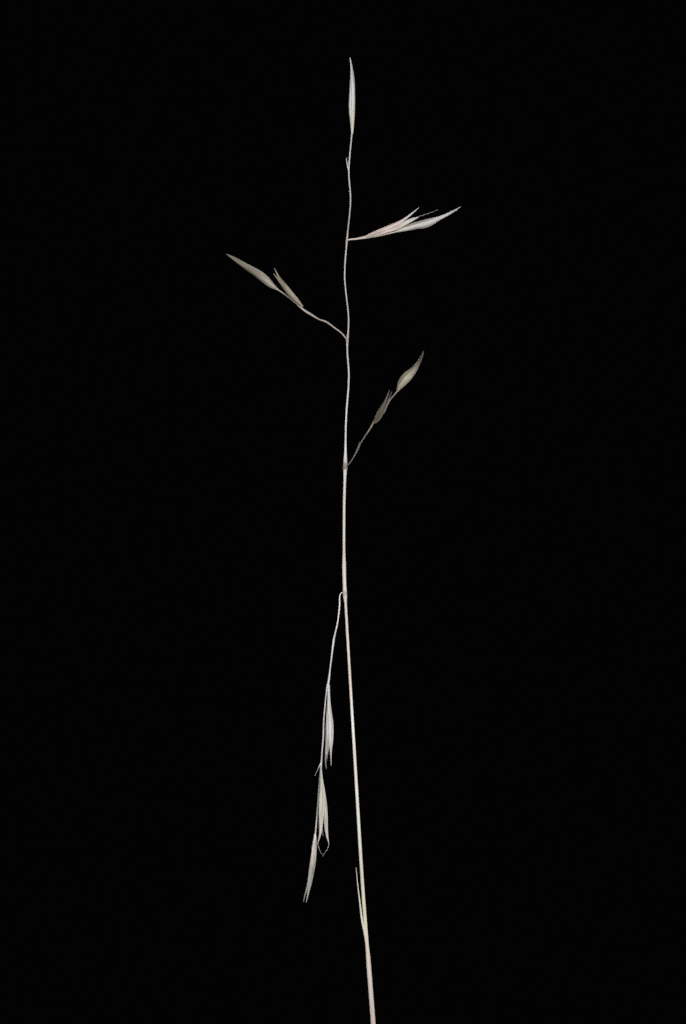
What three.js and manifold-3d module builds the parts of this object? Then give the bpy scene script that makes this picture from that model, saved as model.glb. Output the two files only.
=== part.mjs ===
// Potted flat-stem oat grass: one dry flowering culm with its open panicle, above a tuft of dry leaves in a clay pot.
// Millimetres. X points right, Y away from the front, Z up. The origin is the centre of the pot's foot, on the surface.

import * as THREE from "three";
import { mergeVertices } from "three/addons/utils/BufferGeometryUtils.js";
import Module from "manifold-3d";

const wasm = await Module();
wasm.setup();

// Pot
const POT_HEIGHT = 85;
const FOOT_RADIUS = 34;
const SHOULDER_RADIUS = 46.5;
const RIM_RADIUS = 52;
const RIM_HEIGHT = 18;
const MOUTH_RADIUS = 45.7;
const WALL = 4.5;
const FLOOR = 6.5;
const DRAINS = 3;
const DRAIN_RADIUS = 3.5;
const DRAIN_RING = 15;
const ROUND_SIDES = 40;

// Soil
const SOIL_LEVEL = 74;
const MOUND_HEIGHT = 2.2;
const MOUND_RADIUS = 22;
const SOIL_RINGS = 6;
const HOLE_BOTTOM = 65;

// Grass
const BLADE = 0.6;
const THREAD_RADIUS = 0.3;
const CLEARANCE = 0.3;
const STEM_FLATNESS = 0.75;
const TILLERS = 9;
const BLADES_PER_TILLER = 4;
const TILLER_RING = 6.4;
const TILLER_RADIUS = 1.25;
const OLD_TUFTS = 9;
const OLD_RING = 10.4;
const OLD_RADIUS = 0.8;

const DEG = Math.PI / 180;
const FRONT_TO_BACK = new THREE.Vector3(0, 1, 0);

const clay = new THREE.MeshStandardMaterial({ color: 0xb0694a, roughness: 0.85 });
const earth = new THREE.MeshStandardMaterial({ color: 0x3a2c22, roughness: 0.95 });
const straw = new THREE.MeshStandardMaterial({ color: 0xd8cdb4, roughness: 0.55 });
const husk = new THREE.MeshStandardMaterial({ color: 0xcfc9bb, roughness: 0.6 });
const dryLeaf = new THREE.MeshStandardMaterial({ color: 0xb9a177, roughness: 0.7 });
const oldLeaf = new THREE.MeshStandardMaterial({ color: 0x948670, roughness: 0.8 });

const plant = new THREE.Group();

function addPart(name, geometry, material) {
  const mesh = new THREE.Mesh(geometry, material);
  mesh.name = name;
  plant.add(mesh);
}

function at(x, y, z) {
  return new THREE.Vector3(x, y, z);
}

// A compass direction in degrees, as a level unit vector.
function outwards(azimuth) {
  return at(Math.cos(azimuth * DEG), Math.sin(azimuth * DEG), 0);
}

// The same plant every time: a small generator of chance that starts from a given seed.
function seeded(seed) {
  let state = seed;
  return (low, high) => {
    state = (state * 16807) % 2147483647;
    return low + ((high - low) * state) / 2147483647;
  };
}

// Joining and cutting closed solids

// Merges shared corners and drops the triangles that have no area, as a turned shape has on its axis.
function solidOf(geometry) {
  const bare = geometry.clone();
  bare.deleteAttribute("normal");
  bare.deleteAttribute("uv");
  const merged = mergeVertices(bare, 1e-4);
  const corners = Array.from(merged.index.array);
  const triangles = [];
  for (let i = 0; i < corners.length; i += 3) {
    const [a, b, c] = corners.slice(i, i + 3);
    if (a !== b && b !== c && c !== a) triangles.push(a, b, c);
  }
  const vertProperties = merged.attributes.position.array;
  const triVerts = new Uint32Array(triangles);
  return new wasm.Manifold(new wasm.Mesh({ numProp: 3, vertProperties, triVerts }));
}

function geometryOf(solid) {
  const mesh = solid.getMesh();
  return new THREE.BufferGeometry()
    .setAttribute("position", new THREE.BufferAttribute(mesh.vertProperties, 3))
    .setIndex(new THREE.BufferAttribute(mesh.triVerts, 1));
}

// Keeps the outer skin of the joined body, so a hollow that the joining sealed is filled.
function fuse(geometries) {
  const joined = geometries.map(solidOf).reduce((whole, piece) => whole.add(piece));
  const skins = joined.decompose().sort((a, b) => b.volume() - a.volume());
  return geometryOf(skins[0]);
}

function cut(geometry, holes) {
  return geometryOf(holes.map(solidOf).reduce((whole, hole) => whole.subtract(hole), solidOf(geometry)));
}

// Stems and blades are swept: a cross-section is carried along stations, and each end closes in a fan.

// A skin over rings of corners, from a start point to an end point.
function loft(rings, start, end) {
  const sides = rings[0].length;
  const points = [...rings.flat(), start, end];
  const startIndex = points.length - 2;
  const endIndex = points.length - 1;
  const lastRing = (rings.length - 1) * sides;
  const index = [];
  for (let k = 0; k < sides; k++) {
    const next = (k + 1) % sides;
    index.push(startIndex, next, k);
    index.push(endIndex, lastRing + k, lastRing + next);
    for (let low = 0; low < lastRing; low += sides) {
      const high = low + sides;
      index.push(low + k, low + next, high + next);
      index.push(low + k, high + next, high + k);
    }
  }
  return new THREE.BufferGeometry().setFromPoints(points).setIndex(index);
}

// A station has a point, the way the stem grows there, and the way that its section's first axis runs.
function ringAt({ point, along, side }, section) {
  const normal = along.clone().cross(side);
  return section.map(([s, n]) => point.clone().addScaledVector(side, s).addScaledVector(normal, n));
}

function middleOf(ring) {
  const sum = ring.reduce((total, corner) => total.add(corner), at(0, 0, 0));
  return sum.divideScalar(ring.length);
}

// With a tip the sweep runs out to that point, and without one its end is flat.
function sweep(stations, sectionAt, tip = null) {
  const last = stations.length - 1;
  const rings = stations.map((station, i) => ringAt(station, sectionAt(i / last, station.point.z)));
  return loft(rings, middleOf(rings[0]), tip ?? middleOf(rings[last]));
}

// Stations on a smooth curve through the points, whose sections keep their first axis towards the back.
function stationsThrough(points, perSpan) {
  const curve = new THREE.CatmullRomCurve3(points, false, "centripetal");
  const count = (points.length - 1) * perSpan;
  return Array.from({ length: count + 1 }, (_, i) => {
    const along = curve.getTangent(i / count);
    const side = FRONT_TO_BACK.clone().projectOnPlane(along).normalize();
    return { point: curve.getPoint(i / count), along, side };
  });
}

function oval(halfSide, halfNormal, sides) {
  return Array.from({ length: sides }, (_, k) => {
    const angle = (2 * Math.PI * (k + 0.5)) / sides;
    return [halfSide * Math.cos(angle), halfNormal * Math.sin(angle)];
  });
}

function thread(points) {
  return sweep(stationsThrough(points, 1), () => oval(THREAD_RADIUS, THREAD_RADIUS, 6));
}

// Pot: a turned clay body with a collar rim, and drain holes round the middle of its floor

function innerRadiusAt(height) {
  const foot = FOOT_RADIUS - WALL;
  return foot + ((MOUTH_RADIUS - foot) * (height - FLOOR)) / (POT_HEIGHT - FLOOR);
}

function potGeometry() {
  const shoulder = POT_HEIGHT - RIM_HEIGHT;
  const profile = new THREE.Path();
  profile.moveTo(0, 0);
  profile.lineTo(FOOT_RADIUS - 1.5, 0);
  profile.quadraticCurveTo(FOOT_RADIUS, 0, FOOT_RADIUS + 0.3, 1.5);
  profile.lineTo(SHOULDER_RADIUS, shoulder - 1.5);
  profile.quadraticCurveTo(SHOULDER_RADIUS + 0.3, shoulder, SHOULDER_RADIUS + 2, shoulder);
  profile.lineTo(RIM_RADIUS - 2, shoulder);
  profile.quadraticCurveTo(RIM_RADIUS - 0.6, shoulder, RIM_RADIUS - 0.6, shoulder + 1.5);
  profile.lineTo(RIM_RADIUS, POT_HEIGHT - 2);
  profile.quadraticCurveTo(RIM_RADIUS, POT_HEIGHT, RIM_RADIUS - 2, POT_HEIGHT);
  profile.lineTo(MOUTH_RADIUS + 1.5, POT_HEIGHT);
  profile.quadraticCurveTo(MOUTH_RADIUS, POT_HEIGHT, innerRadiusAt(POT_HEIGHT - 1.5), POT_HEIGHT - 1.5);
  profile.lineTo(innerRadiusAt(FLOOR + 2), FLOOR + 2);
  profile.quadraticCurveTo(innerRadiusAt(FLOOR), FLOOR, innerRadiusAt(FLOOR) - 2, FLOOR);
  profile.lineTo(0, FLOOR);
  const body = new THREE.LatheGeometry(profile.getPoints(3), ROUND_SIDES).rotateX(Math.PI / 2);
  return cut(body, Array.from({ length: DRAINS }, (_, k) => drainGeometry(k)));
}

function drainGeometry(k) {
  const centre = outwards((360 / DRAINS) * k + 90).multiplyScalar(DRAIN_RING);
  const length = 3 * FLOOR;
  return new THREE.CylinderGeometry(DRAIN_RADIUS, DRAIN_RADIUS, length, 14)
    .rotateX(Math.PI / 2)
    .translate(centre.x, centre.y, FLOOR / 2);
}

// Soil: it fills the pot, stands in a low mound under the tuft, and has a plain hole for each stem

function soilHeight(x, y) {
  const mound = MOUND_HEIGHT * Math.exp(-(x * x + y * y) / MOUND_RADIUS ** 2);
  const broad = 0.7 * Math.sin(x * 0.21 + 1.3) * Math.cos(y * 0.17 - 0.4);
  const crumbs = 0.4 * Math.sin(x * 0.9 + y * 0.5) * Math.cos(y * 0.8 - x * 0.3);
  return SOIL_LEVEL + mound + broad + crumbs;
}

function soilRing(radius, heightAt) {
  return Array.from({ length: ROUND_SIDES }, (_, k) => {
    const { x, y } = outwards((360 / ROUND_SIDES) * k).multiplyScalar(radius);
    return at(x, y, heightAt(x, y));
  });
}

function soilGeometry() {
  const bottom = FLOOR + CLEARANCE;
  const edge = SOIL_LEVEL - 3;
  const widest = innerRadiusAt(edge) - 2 * CLEARANCE;
  const rings = [
    soilRing(innerRadiusAt(bottom) - 3, () => bottom),
    soilRing(innerRadiusAt(bottom + 3) - 2 * CLEARANCE, () => bottom + 3),
    soilRing(widest, () => edge),
  ];
  for (let j = 0; j < SOIL_RINGS; j++) {
    rings.push(soilRing(widest * (1 - j / SOIL_RINGS), soilHeight));
  }
  const heap = loft(rings, at(0, 0, bottom), at(0, 0, soilHeight(0, 0)));
  const holes = [holeAround(culmPoint(SOIL_LEVEL), culmHalfWidth(SOIL_LEVEL))];
  for (let k = 0; k < TILLERS; k++) {
    holes.push(holeAround(tillerFoot(k), TILLER_RADIUS));
  }
  for (let k = 0; k < OLD_TUFTS; k++) {
    holes.push(holeAround(oldTuftFoot(k), OLD_RADIUS));
  }
  return cut(heap, holes);
}

function holeAround({ x, y }, stemRadius) {
  const radius = stemRadius + CLEARANCE;
  const top = SOIL_LEVEL + 8;
  return new THREE.CylinderGeometry(radius, radius, top - HOLE_BOTTOM, 10)
    .rotateX(Math.PI / 2)
    .translate(x, y, (top + HOLE_BOTTOM) / 2);
}

// Culm: the flowering stem, from its foot in the soil to the seat of the top spikelet

// The centreline leans left from the pot's middle, then wavers from joint to joint in the panicle.
const CULM_LINE = [
  at(0, 0, HOLE_BOTTOM + CLEARANCE),
  at(-0.3, 0, 88),
  at(-1.3, 0.2, 118),
  at(-3, 0.5, 160),
  at(-5.1, 0.7, 198),
  at(-7.2, 0.7, 226.8),
  at(-9, 0.4, 250),
  at(-10.6, 0.1, 276),
  at(-12, 0, 299.6),
  at(-12.35, 0.2, 306),
  at(-12.4, 0.3, 319),
  at(-12.2, 0.5, 326.9),
  at(-12.05, 0.4, 335),
  at(-11.55, 0, 342.8),
  at(-11.85, -0.3, 347.8),
  at(-11.6, -0.2, 353),
  at(-12.3, 0.3, 360.7),
  at(-11.9, 0.4, 367.2),
  at(-11.25, 0.1, 374.5),
  at(-11.55, -0.2, 379.6),
  at(-11, 0, 386.6),
];
const CULM_TOP = CULM_LINE.at(-1);

// Each stretch has its half-width at its lower and upper end. Two of them are leaf sheaths, a little thicker.
const CULM_STRETCHES = [
  { from: 65, to: 112, low: 0.62, high: 0.56 },
  { from: 112, to: 159, low: 0.66, high: 0.6 },
  { from: 159, to: 172, low: 0.5, high: 0.5 },
  { from: 172, to: 241, low: 0.56, high: 0.46 },
  { from: 241, to: 304, low: 0.36, high: 0.33 },
  { from: 304, to: 387, low: 0.32, high: 0.3 },
];

// Joints swell a little. The upper four carry the branches.
const LOWER_JOINTS = [
  { height: 112, swell: 0.22, reach: 2.5 },
  { height: 172, swell: 0.2, reach: 2.5 },
];
const DROOPING_JOINT = { height: 303.6, swell: 0.1, reach: 2.5 };
const LOWER_RIGHT_JOINT = { height: 326.7, swell: 0.14, reach: 2 };
const LEFT_JOINT = { height: 349.3, swell: 0.06, reach: 1.5 };
const UPPER_RIGHT_JOINT = { height: 367.3, swell: 0.08, reach: 1.5 };
const JOINTS = [...LOWER_JOINTS, DROOPING_JOINT, LOWER_RIGHT_JOINT, LEFT_JOINT, UPPER_RIGHT_JOINT];

function culmHalfWidth(height) {
  const stretch = CULM_STRETCHES.find(({ to }) => height <= to) ?? CULM_STRETCHES.at(-1);
  const { from, to, low, high } = stretch;
  const plain = THREE.MathUtils.lerp(low, high, (height - from) / (to - from));
  const swellings = JOINTS.map((joint) => joint.swell * Math.exp(-(((height - joint.height) / joint.reach) ** 2)));
  return plain + Math.max(...swellings);
}

function culmPoint(height) {
  const above = CULM_LINE.findIndex((point) => point.z > height);
  const low = CULM_LINE[above - 1];
  const high = CULM_LINE[above];
  return low.clone().lerp(high, (height - low.z) / (high.z - low.z));
}

function culmSection(height) {
  const half = culmHalfWidth(height);
  return oval(half * STEM_FLATNESS, half, 6);
}

// The rolled remnant of the flag leaf parts from the sheath and stands beside the stem.
function flagLeafGeometry() {
  const collar = culmPoint(240);
  const steps = [
    [0, 0, 0],
    [-0.6, -0.15, 4.6],
    [-1.3, -0.2, 8.8],
    [-1.75, -0.2, 14.2],
  ];
  const line = steps.map((step) => at(...step).add(collar));
  const stations = stationsThrough(line, 2);
  const tip = stations.pop().point;
  return sweep(stations, () => oval(0.42, 0.3, 6), tip);
}

// The stub of a lost spikelet stands on the left near the top.
function stubGeometry() {
  const fork = culmPoint(379.6);
  return thread([fork, fork.clone().add(at(-0.2, 0, 0.8)), fork.clone().add(at(-0.45, 0, 2.2))]);
}

function culmGeometry() {
  const stem = sweep(stationsThrough(CULM_LINE, 2), (_, height) => culmSection(height));
  return fuse([stem, flagLeafGeometry(), stubGeometry()]);
}

// Branches of the panicle: each line is steps right, back and up from the joint that it grows from

const BRANCHES = {
  branch_upper_right: {
    joint: UPPER_RIGHT_JOINT,
    line: [
      [2.5, -0.2, 0.25],
      [4.5, -0.4, 0.6],
      [6.6, -0.8, 1],
      [8.4, -1.2, 1.45],
    ],
  },
  branch_left: {
    joint: LEFT_JOINT,
    line: [
      [-2.35, 0.3, 2.15],
      [-3.85, 0.6, 3.25],
      [-5.2, 1, 3.75],
      [-7.85, 1.8, 5.75],
      [-10.3, 2.5, 7.5],
      [-12.8, 3.2, 9.4],
    ],
  },
  branch_lower_right: {
    joint: LOWER_RIGHT_JOINT,
    line: [
      [1.2, 0.1, 0.9],
      [1.95, 0.4, 2.3],
      [2.9, 0.9, 4],
      [5.15, 1.8, 7.5],
      [6.95, 2.5, 9.5],
      [7.9, 3, 11.4],
      [9.35, 3.7, 13.2],
    ],
  },
  branch_drooping: {
    joint: DROOPING_JOINT,
    line: [
      [-1, -0.05, -0.7],
      [-1.1, -0.2, -2.3],
      [-1.45, -0.5, -5.3],
      [-2.4, -1.1, -10.8],
      [-3.1, -1.5, -15.8],
      [-3.7, -1.8, -21],
      [-4.1, -1.9, -28.5],
      [-4.6, -1.7, -33.5],
      [-5.05, -1.5, -39.5],
      [-5.4, -1.4, -42.8],
    ],
  },
};

// The root lies just off the stem, on the side that the branch grows to.
function branchPoints({ joint, line }) {
  const stem = culmPoint(joint.height);
  const offset = Math.sign(line[0][0]) * (culmHalfWidth(joint.height) + CLEARANCE);
  const root = stem.clone().add(at(offset, 0, 0));
  return [root, ...line.map((step) => at(...step).add(stem))];
}

// Spikelets: the seat is steps right, back and up from the joint of the branch that carries it, or from the culm's top.
// A scale is a glume or lemma. Its line is steps right and up from the seat, its bow is how far it bulges back, its keel
// is the side of its ridge, and its width is the greatest. The drift is how far back the whole spikelet leans.
// A stalk is the thin start below the scales, and an awn is a bristle at the end of one.

const SPIKELETS = {
  spikelet_top: {
    seat: [0, 0, CLEARANCE],
    drift: 0.2,
    scales: [
      { keel: 1, width: 1, bow: 0.2, line: [[-0.1, 3], [-0.2, 6], [-0.1, 9], [-0.35, 13.1]] },
      { keel: -1, width: 0.95, bow: -0.2, line: [[0.15, 3], [0.2, 6], [0.15, 8.6], [-0.05, 12]] },
    ],
  },
  spikelet_upper_right_side: {
    branch: BRANCHES.branch_upper_right,
    seat: [4.9, -1.5, 1.2],
    drift: -0.9,
    scales: [
      { keel: 1, width: 1.2, bow: -0.2, line: [[1.5, 0.75], [3.3, 1.35], [5, 2.2], [8, 4.5]] },
      { keel: -1, width: 1, bow: 0.1, line: [[1.5, 0.1], [3.3, 0.4], [5.2, 1], [8, 2.6]] },
    ],
    awns: [[[7.2, 2.2], [9.4, 3.2], [11.4, 4]]],
  },
  spikelet_upper_right_end: {
    branch: BRANCHES.branch_upper_right,
    seat: [8.75, -1.25, 1.6],
    drift: 1.2,
    scales: [
      { keel: 1, width: 1.5, bow: 0.2, line: [[2.4, 0.6], [4.8, 1.3], [8, 2.4], [11.6, 4.25]] },
      { keel: -1, width: 1.1, bow: -0.2, line: [[2.4, 0.4], [4.8, 0.9], [8, 2], [10.8, 3.6]] },
    ],
  },
  spikelet_left_side: {
    branch: BRANCHES.branch_left,
    seat: [-8.2, 0.95, 6.4],
    drift: -0.8,
    scales: [
      { keel: -1, width: 1.1, bow: 0.2, line: [[-1.4, 1.8], [-2.7, 3.4], [-3.9, 5], [-5, 6.3]] },
      { keel: 1, width: 0.95, bow: -0.2, line: [[-1.7, 1.5], [-3, 2.8], [-4.1, 4.1], [-5, 5.4]] },
    ],
  },
  spikelet_left_end: {
    branch: BRANCHES.branch_left,
    seat: [-13.15, 3.25, 9.7],
    drift: 0.6,
    scales: [
      { keel: -1, width: 1.3, bow: 0.2, line: [[-1.5, 1.6], [-3.2, 3], [-5.6, 4.2], [-8.7, 5.9]] },
      { keel: 1, width: 1.2, bow: -0.2, line: [[-1.6, 1.1], [-3.3, 2.2], [-5.2, 3.6], [-7.6, 4.9]] },
    ],
  },
  spikelet_lower_right_side: {
    branch: BRANCHES.branch_lower_right,
    seat: [5.55, 0.95, 8],
    drift: -0.3,
    scales: [
      { keel: 1, width: 1.1, bow: -0.2, line: [[0.4, 1.5], [1, 2.8], [1.7, 4.1], [2.4, 5.4]] },
      { keel: -1, width: 0.9, bow: 0.1, line: [[0.9, 1.3], [1.6, 2.6], [2.3, 4], [2.9, 5.2]] },
    ],
  },
  spikelet_lower_right_end: {
    branch: BRANCHES.branch_lower_right,
    seat: [9.6, 3.8, 13.55],
    drift: 0.5,
    scales: [
      { keel: 1, width: 1.7, bow: 0.2, line: [[0.3, 1.3], [1.4, 2.8], [2.7, 4.1], [3.9, 5.6], [4.6, 7.2]] },
      { keel: -1, width: 1.5, bow: -0.2, line: [[0.9, 1], [2.1, 2.1], [3.1, 3.5], [4.1, 5.2]] },
    ],
  },
  spikelet_drooping_first: {
    branch: BRANCHES.branch_drooping,
    seat: [-2.9, -2.4, -17.4],
    drift: -0.3,
    stalk: [0.15, -2.9],
    scales: [
      { keel: -1, width: 1, bow: 0.15, line: [[-0.2, -6.4], [-0.4, -9.4], [-0.5, -13.7]] },
      { keel: 1, width: 1.15, bow: -0.15, line: [[0.5, -6.2], [0.6, -9.2], [0.45, -13.1]] },
    ],
  },
  spikelet_drooping_second: {
    branch: BRANCHES.branch_drooping,
    seat: [-4.35, -2.8, -31.3],
    drift: -0.4,
    stalk: [0, -2.3],
    scales: [
      { keel: -1, width: 1.1, bow: 0.1, line: [[-0.2, -5.4], [-0.35, -9], [-0.45, -13.1]] },
      { keel: 1, width: 1.1, bow: 0.1, line: [[0.5, -5], [0.9, -9], [1.45, -12.7]] },
      { keel: 1, width: 1.1, bow: -0.4, line: [[0.15, -5.2], [0.4, -8.6], [0.6, -11.6]] },
    ],
    awns: [
      [[-0.4, -12.3], [-0.4, -14], [0.2, -15.2]],
      [[1.4, -12], [1.35, -13.8], [0.4, -15.1]],
    ],
  },
  spikelet_drooping_end: {
    branch: BRANCHES.branch_drooping,
    seat: [-5.5, -1.4, -43.3],
    drift: 0.4,
    scales: [
      { keel: -1, width: 0.95, bow: 0.2, line: [[-0.45, -2.6], [-0.9, -5.6], [-1.2, -8], [-1.9, -11.8]] },
      { keel: 1, width: 0.95, bow: -0.2, line: [[0.05, -2.6], [-0.2, -5.6], [-0.7, -8.4], [-1.5, -12]] },
    ],
  },
};

function seatOf({ branch, seat }) {
  const base = branch ? culmPoint(branch.joint.height) : CULM_TOP.clone();
  return base.add(at(...seat));
}

// Lays a flat line of steps right and up into space: it drifts back along its length and bows in the middle.
function lineFrom(start, steps, drift, bow) {
  const reach = steps.length - 1;
  return steps.map(([right, up], i) => {
    const back = (drift * i) / reach + bow * Math.sin((Math.PI * i) / reach);
    return start.clone().add(at(right, back, up));
  });
}

// A boat-shaped husk: its ridge is on the keel side, and its back is nearly flat.
function boat(halfSide, halfDepth, keel) {
  const corners = [
    [halfSide, -0.3 * halfDepth],
    [0.6 * halfSide, 0.6 * halfDepth],
    [0, halfDepth],
    [-0.6 * halfSide, 0.6 * halfDepth],
    [-halfSide, -0.3 * halfDepth],
    [0, -0.8 * halfDepth],
  ];
  return corners.map(([s, n]) => [keel * s, keel * n]);
}

// Narrow at the foot, fullest at about a third of the length, and drawn out to the tip.
function scaleGeometry({ keel, width, bow, line }, start, drift) {
  const stations = stationsThrough(lineFrom(start, [[0, 0], ...line], drift, bow), 2);
  const tip = stations.pop().point;
  const sectionAt = (t) => {
    const fullness = Math.sin(Math.PI * (0.97 * t) ** 0.66) ** 0.85;
    const half = Math.max(BLADE / 2, (width / 2) * fullness);
    return boat(half * 0.9, half, keel);
  };
  return sweep(stations, sectionAt, tip);
}

function spikeletGeometry(spikelet) {
  const seat = seatOf(spikelet);
  const pieces = spikelet.scales.map((scale) => {
    return scaleGeometry(withoutStalk(scale, spikelet.stalk), stalkEnd(seat, spikelet.stalk), spikelet.drift);
  });
  if (spikelet.stalk) {
    pieces.push(thread([seat, stalkEnd(seat, spikelet.stalk).add(at(0, 0, -1))]));
  }
  (spikelet.awns ?? []).forEach((steps) => {
    pieces.push(thread(lineFrom(seat, steps, 0, 0).map((point) => point.add(at(0, spikelet.drift, 0)))));
  });
  return fuse(pieces);
}

function stalkEnd(seat, stalk = [0, 0]) {
  return seat.clone().add(at(stalk[0], 0, stalk[1]));
}

function withoutStalk(scale, stalk = [0, 0]) {
  const line = scale.line.map(([right, up]) => [right - stalk[0], up - stalk[1]]);
  return { ...scale, line };
}

// Leaves

// Marches along a blade that starts at one slope and bends to another, while it swings sideways and twists.
// A blade that comes down to its lowest level runs on along it.
function leafStations({ foot, azimuth, length, rise, fall, bend, swing, twist, steps, lowest = 0 }) {
  const stations = [];
  const point = foot.clone();
  for (let i = 0; i <= steps; i++) {
    const t = i / steps;
    const heading = azimuth + swing * t * t;
    const slope = (rise + (fall - rise) * t ** bend) * DEG;
    const along = outwards(heading).multiplyScalar(Math.cos(slope)).add(at(0, 0, Math.sin(slope)));
    const side = outwards(heading + 90).applyAxisAngle(along, twist * t * DEG);
    stations.push({ point: point.clone(), along, side });
    point.addScaledVector(along, length / steps);
    point.z = Math.max(point.z, lowest);
  }
  return stations;
}

// A shallow trough above and a keel below, a little narrower at the foot, tapering to a point over the outer half.
function bladeGeometry(leaf) {
  const stations = leafStations(leaf);
  const tip = stations.pop().point;
  const sectionAt = (t) => {
    const shoulder = 0.75 + 0.25 * Math.min(1, 3 * t);
    const halfWidth = (leaf.width / 2) * shoulder * (1 - 0.75 * t ** 2.2);
    const trough = 0.3 * halfWidth;
    return [
      [halfWidth, 0],
      [0, -trough],
      [-halfWidth, 0],
      [0, -trough - BLADE],
    ];
  };
  return sweep(stations, sectionAt, tip);
}

// Tillers: leafy shoots round the culm, each with a stem of rolled sheaths and its blades in its own sector

function tillerFoot(k) {
  return outwards((360 / TILLERS) * (k + 0.5)).multiplyScalar(TILLER_RING).setZ(HOLE_BOTTOM + CLEARANCE);
}

function tillerGeometry(k) {
  const chance = seeded(101 + 17 * k);
  const azimuth = (360 / TILLERS) * (k + 0.5);
  const foot = tillerFoot(k);
  const neck = foot.clone().setZ(SOIL_LEVEL + 5);
  const top = neck.clone().addScaledVector(outwards(azimuth), 2).setZ(SOIL_LEVEL + chance(18, 27));
  const stem = sweep(stationsThrough([foot, neck, top], 2), (t) => {
    const half = TILLER_RADIUS * (1 - 0.35 * t);
    return oval(half, half * 0.85, 6);
  });
  const blades = Array.from({ length: BLADES_PER_TILLER }, (_, j) => {
    const share = j / (BLADES_PER_TILLER - 1);
    const rank = j % 2 ? 1 : -1;
    return bladeGeometry({
      foot: neck.clone().lerp(top, 0.35 + 0.6 * share),
      azimuth: azimuth + rank * (14 - 10 * share) + chance(-2, 2),
      length: chance(70, 112) * (0.8 + 0.35 * share),
      rise: 58 + 24 * share + chance(-5, 4),
      fall: chance(-72, -26) + 34 * share,
      bend: chance(1.2, 1.7),
      swing: chance(-5, 5),
      twist: chance(-50, 50),
      width: chance(1.9, 2.5),
      steps: 10,
    });
  });
  return fuse([stem, ...blades]);
}

// Old tufts: withered blades that curl over the soil between the tillers

function oldTuftFoot(k) {
  return outwards((360 / OLD_TUFTS) * k).multiplyScalar(OLD_RING).setZ(HOLE_BOTTOM + CLEARANCE);
}

function oldTuftGeometry(k) {
  const chance = seeded(907 + 29 * k);
  const azimuth = (360 / OLD_TUFTS) * k;
  const foot = oldTuftFoot(k);
  const neck = foot.clone().setZ(SOIL_LEVEL + 4.5);
  const stem = sweep(stationsThrough([foot, neck], 2), () => oval(OLD_RADIUS, OLD_RADIUS * 0.8, 6));
  const curls = [-1, 1].map((rank) => {
    return bladeGeometry({
      foot: neck.clone().setZ(neck.z - 1.2),
      azimuth: azimuth + rank * 9,
      length: chance(32, 58),
      rise: chance(35, 70),
      fall: chance(-310, -170),
      bend: chance(1.3, 2),
      swing: rank * chance(4, 30),
      twist: rank * chance(10, 50),
      width: chance(1.6, 2),
      steps: 14,
      lowest: SOIL_LEVEL + 3.2,
    });
  });
  return fuse([stem, ...curls]);
}

// The withered leaf halfway up the culm arches out to the right from the top of its sheath.
function culmLeafGeometry() {
  const collar = culmPoint(159);
  const offset = culmHalfWidth(159) + CLEARANCE + BLADE;
  return bladeGeometry({
    foot: collar.add(at(offset, 0, 0)),
    azimuth: -25,
    length: 78,
    rise: 76,
    fall: -64,
    bend: 1.4,
    swing: -14,
    twist: 35,
    width: 2.2,
    steps: 14,
  });
}

addPart("pot", potGeometry(), clay);
addPart("soil", soilGeometry(), earth);
addPart("culm", culmGeometry(), straw);
addPart("culm_leaf", culmLeafGeometry(), dryLeaf);
Object.entries(BRANCHES).forEach(([name, branch]) => addPart(name, thread(branchPoints(branch)), straw));
Object.entries(SPIKELETS).forEach(([name, spikelet]) => addPart(name, spikeletGeometry(spikelet), husk));
for (let k = 0; k < TILLERS; k++) {
  addPart(`tiller_${k + 1}`, tillerGeometry(k), dryLeaf);
}
for (let k = 0; k < OLD_TUFTS; k++) {
  addPart(`old_tuft_${k + 1}`, oldTuftGeometry(k), oldLeaf);
}

export default plant;
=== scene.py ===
# Potted flat-stem oat grass: the looks of every piece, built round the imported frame.
# Shapes are worked out in millimetres, in the frame's axes, and turned into metres as each mesh is made.
# X points right, Y away from the front, Z up. The origin is the centre of the pot's foot.

import math

import bpy
import numpy as np
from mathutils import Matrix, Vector, noise


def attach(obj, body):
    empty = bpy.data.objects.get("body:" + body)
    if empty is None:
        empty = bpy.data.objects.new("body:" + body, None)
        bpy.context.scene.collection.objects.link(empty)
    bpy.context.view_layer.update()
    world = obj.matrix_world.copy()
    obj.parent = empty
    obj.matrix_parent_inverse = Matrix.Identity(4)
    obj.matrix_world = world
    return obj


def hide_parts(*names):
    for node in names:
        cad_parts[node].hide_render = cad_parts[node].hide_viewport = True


MM = 0.001
UP = np.array((0.0, 0.0, 1.0))
BACK = np.array((0.0, 1.0, 0.0))
TOP_LEVEL = 400

# Camera: it looks level at the panicle, so that one pixel of the 686 by 1024 frame is 0.18 mm at the stem
PIXEL = 0.18
FRAME_HEIGHT_PIXELS = 1024
LENS = 150
SENSOR = 36
AIM = (-12.6, 0.0, 318.3)

# Stage. Each light has its place in metres, its power, its size and its colour.
FLOOR_RADIUS = 1500
# Painted pool of light on the floor: pale out to the first distance, near black from the second, in metres
PAINTED_LIGHT_POOL_START = 0.2
PAINTED_LIGHT_POOL_END = 1.15
ROOM_COLOUR = (0.0008, 0.0008, 0.0008, 1)
LIGHTS_AIM = (0, 0, 0.2)
LIGHTS = {
    "key": ((0.35, -1.9, 0.75), 39, 0.7, (1.0, 0.99, 0.975)),
    "fill": ((-1.5, -1.1, 0.8), 6, 1.2, (0.97, 0.98, 1.0)),
    "side": ((1.7, 0.3, 1.0), 5, 1.0, (0.98, 0.99, 1.0)),
    "back": ((-0.3, 1.9, 0.7), 26, 0.9, (1.0, 0.99, 0.975)),
}

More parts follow.
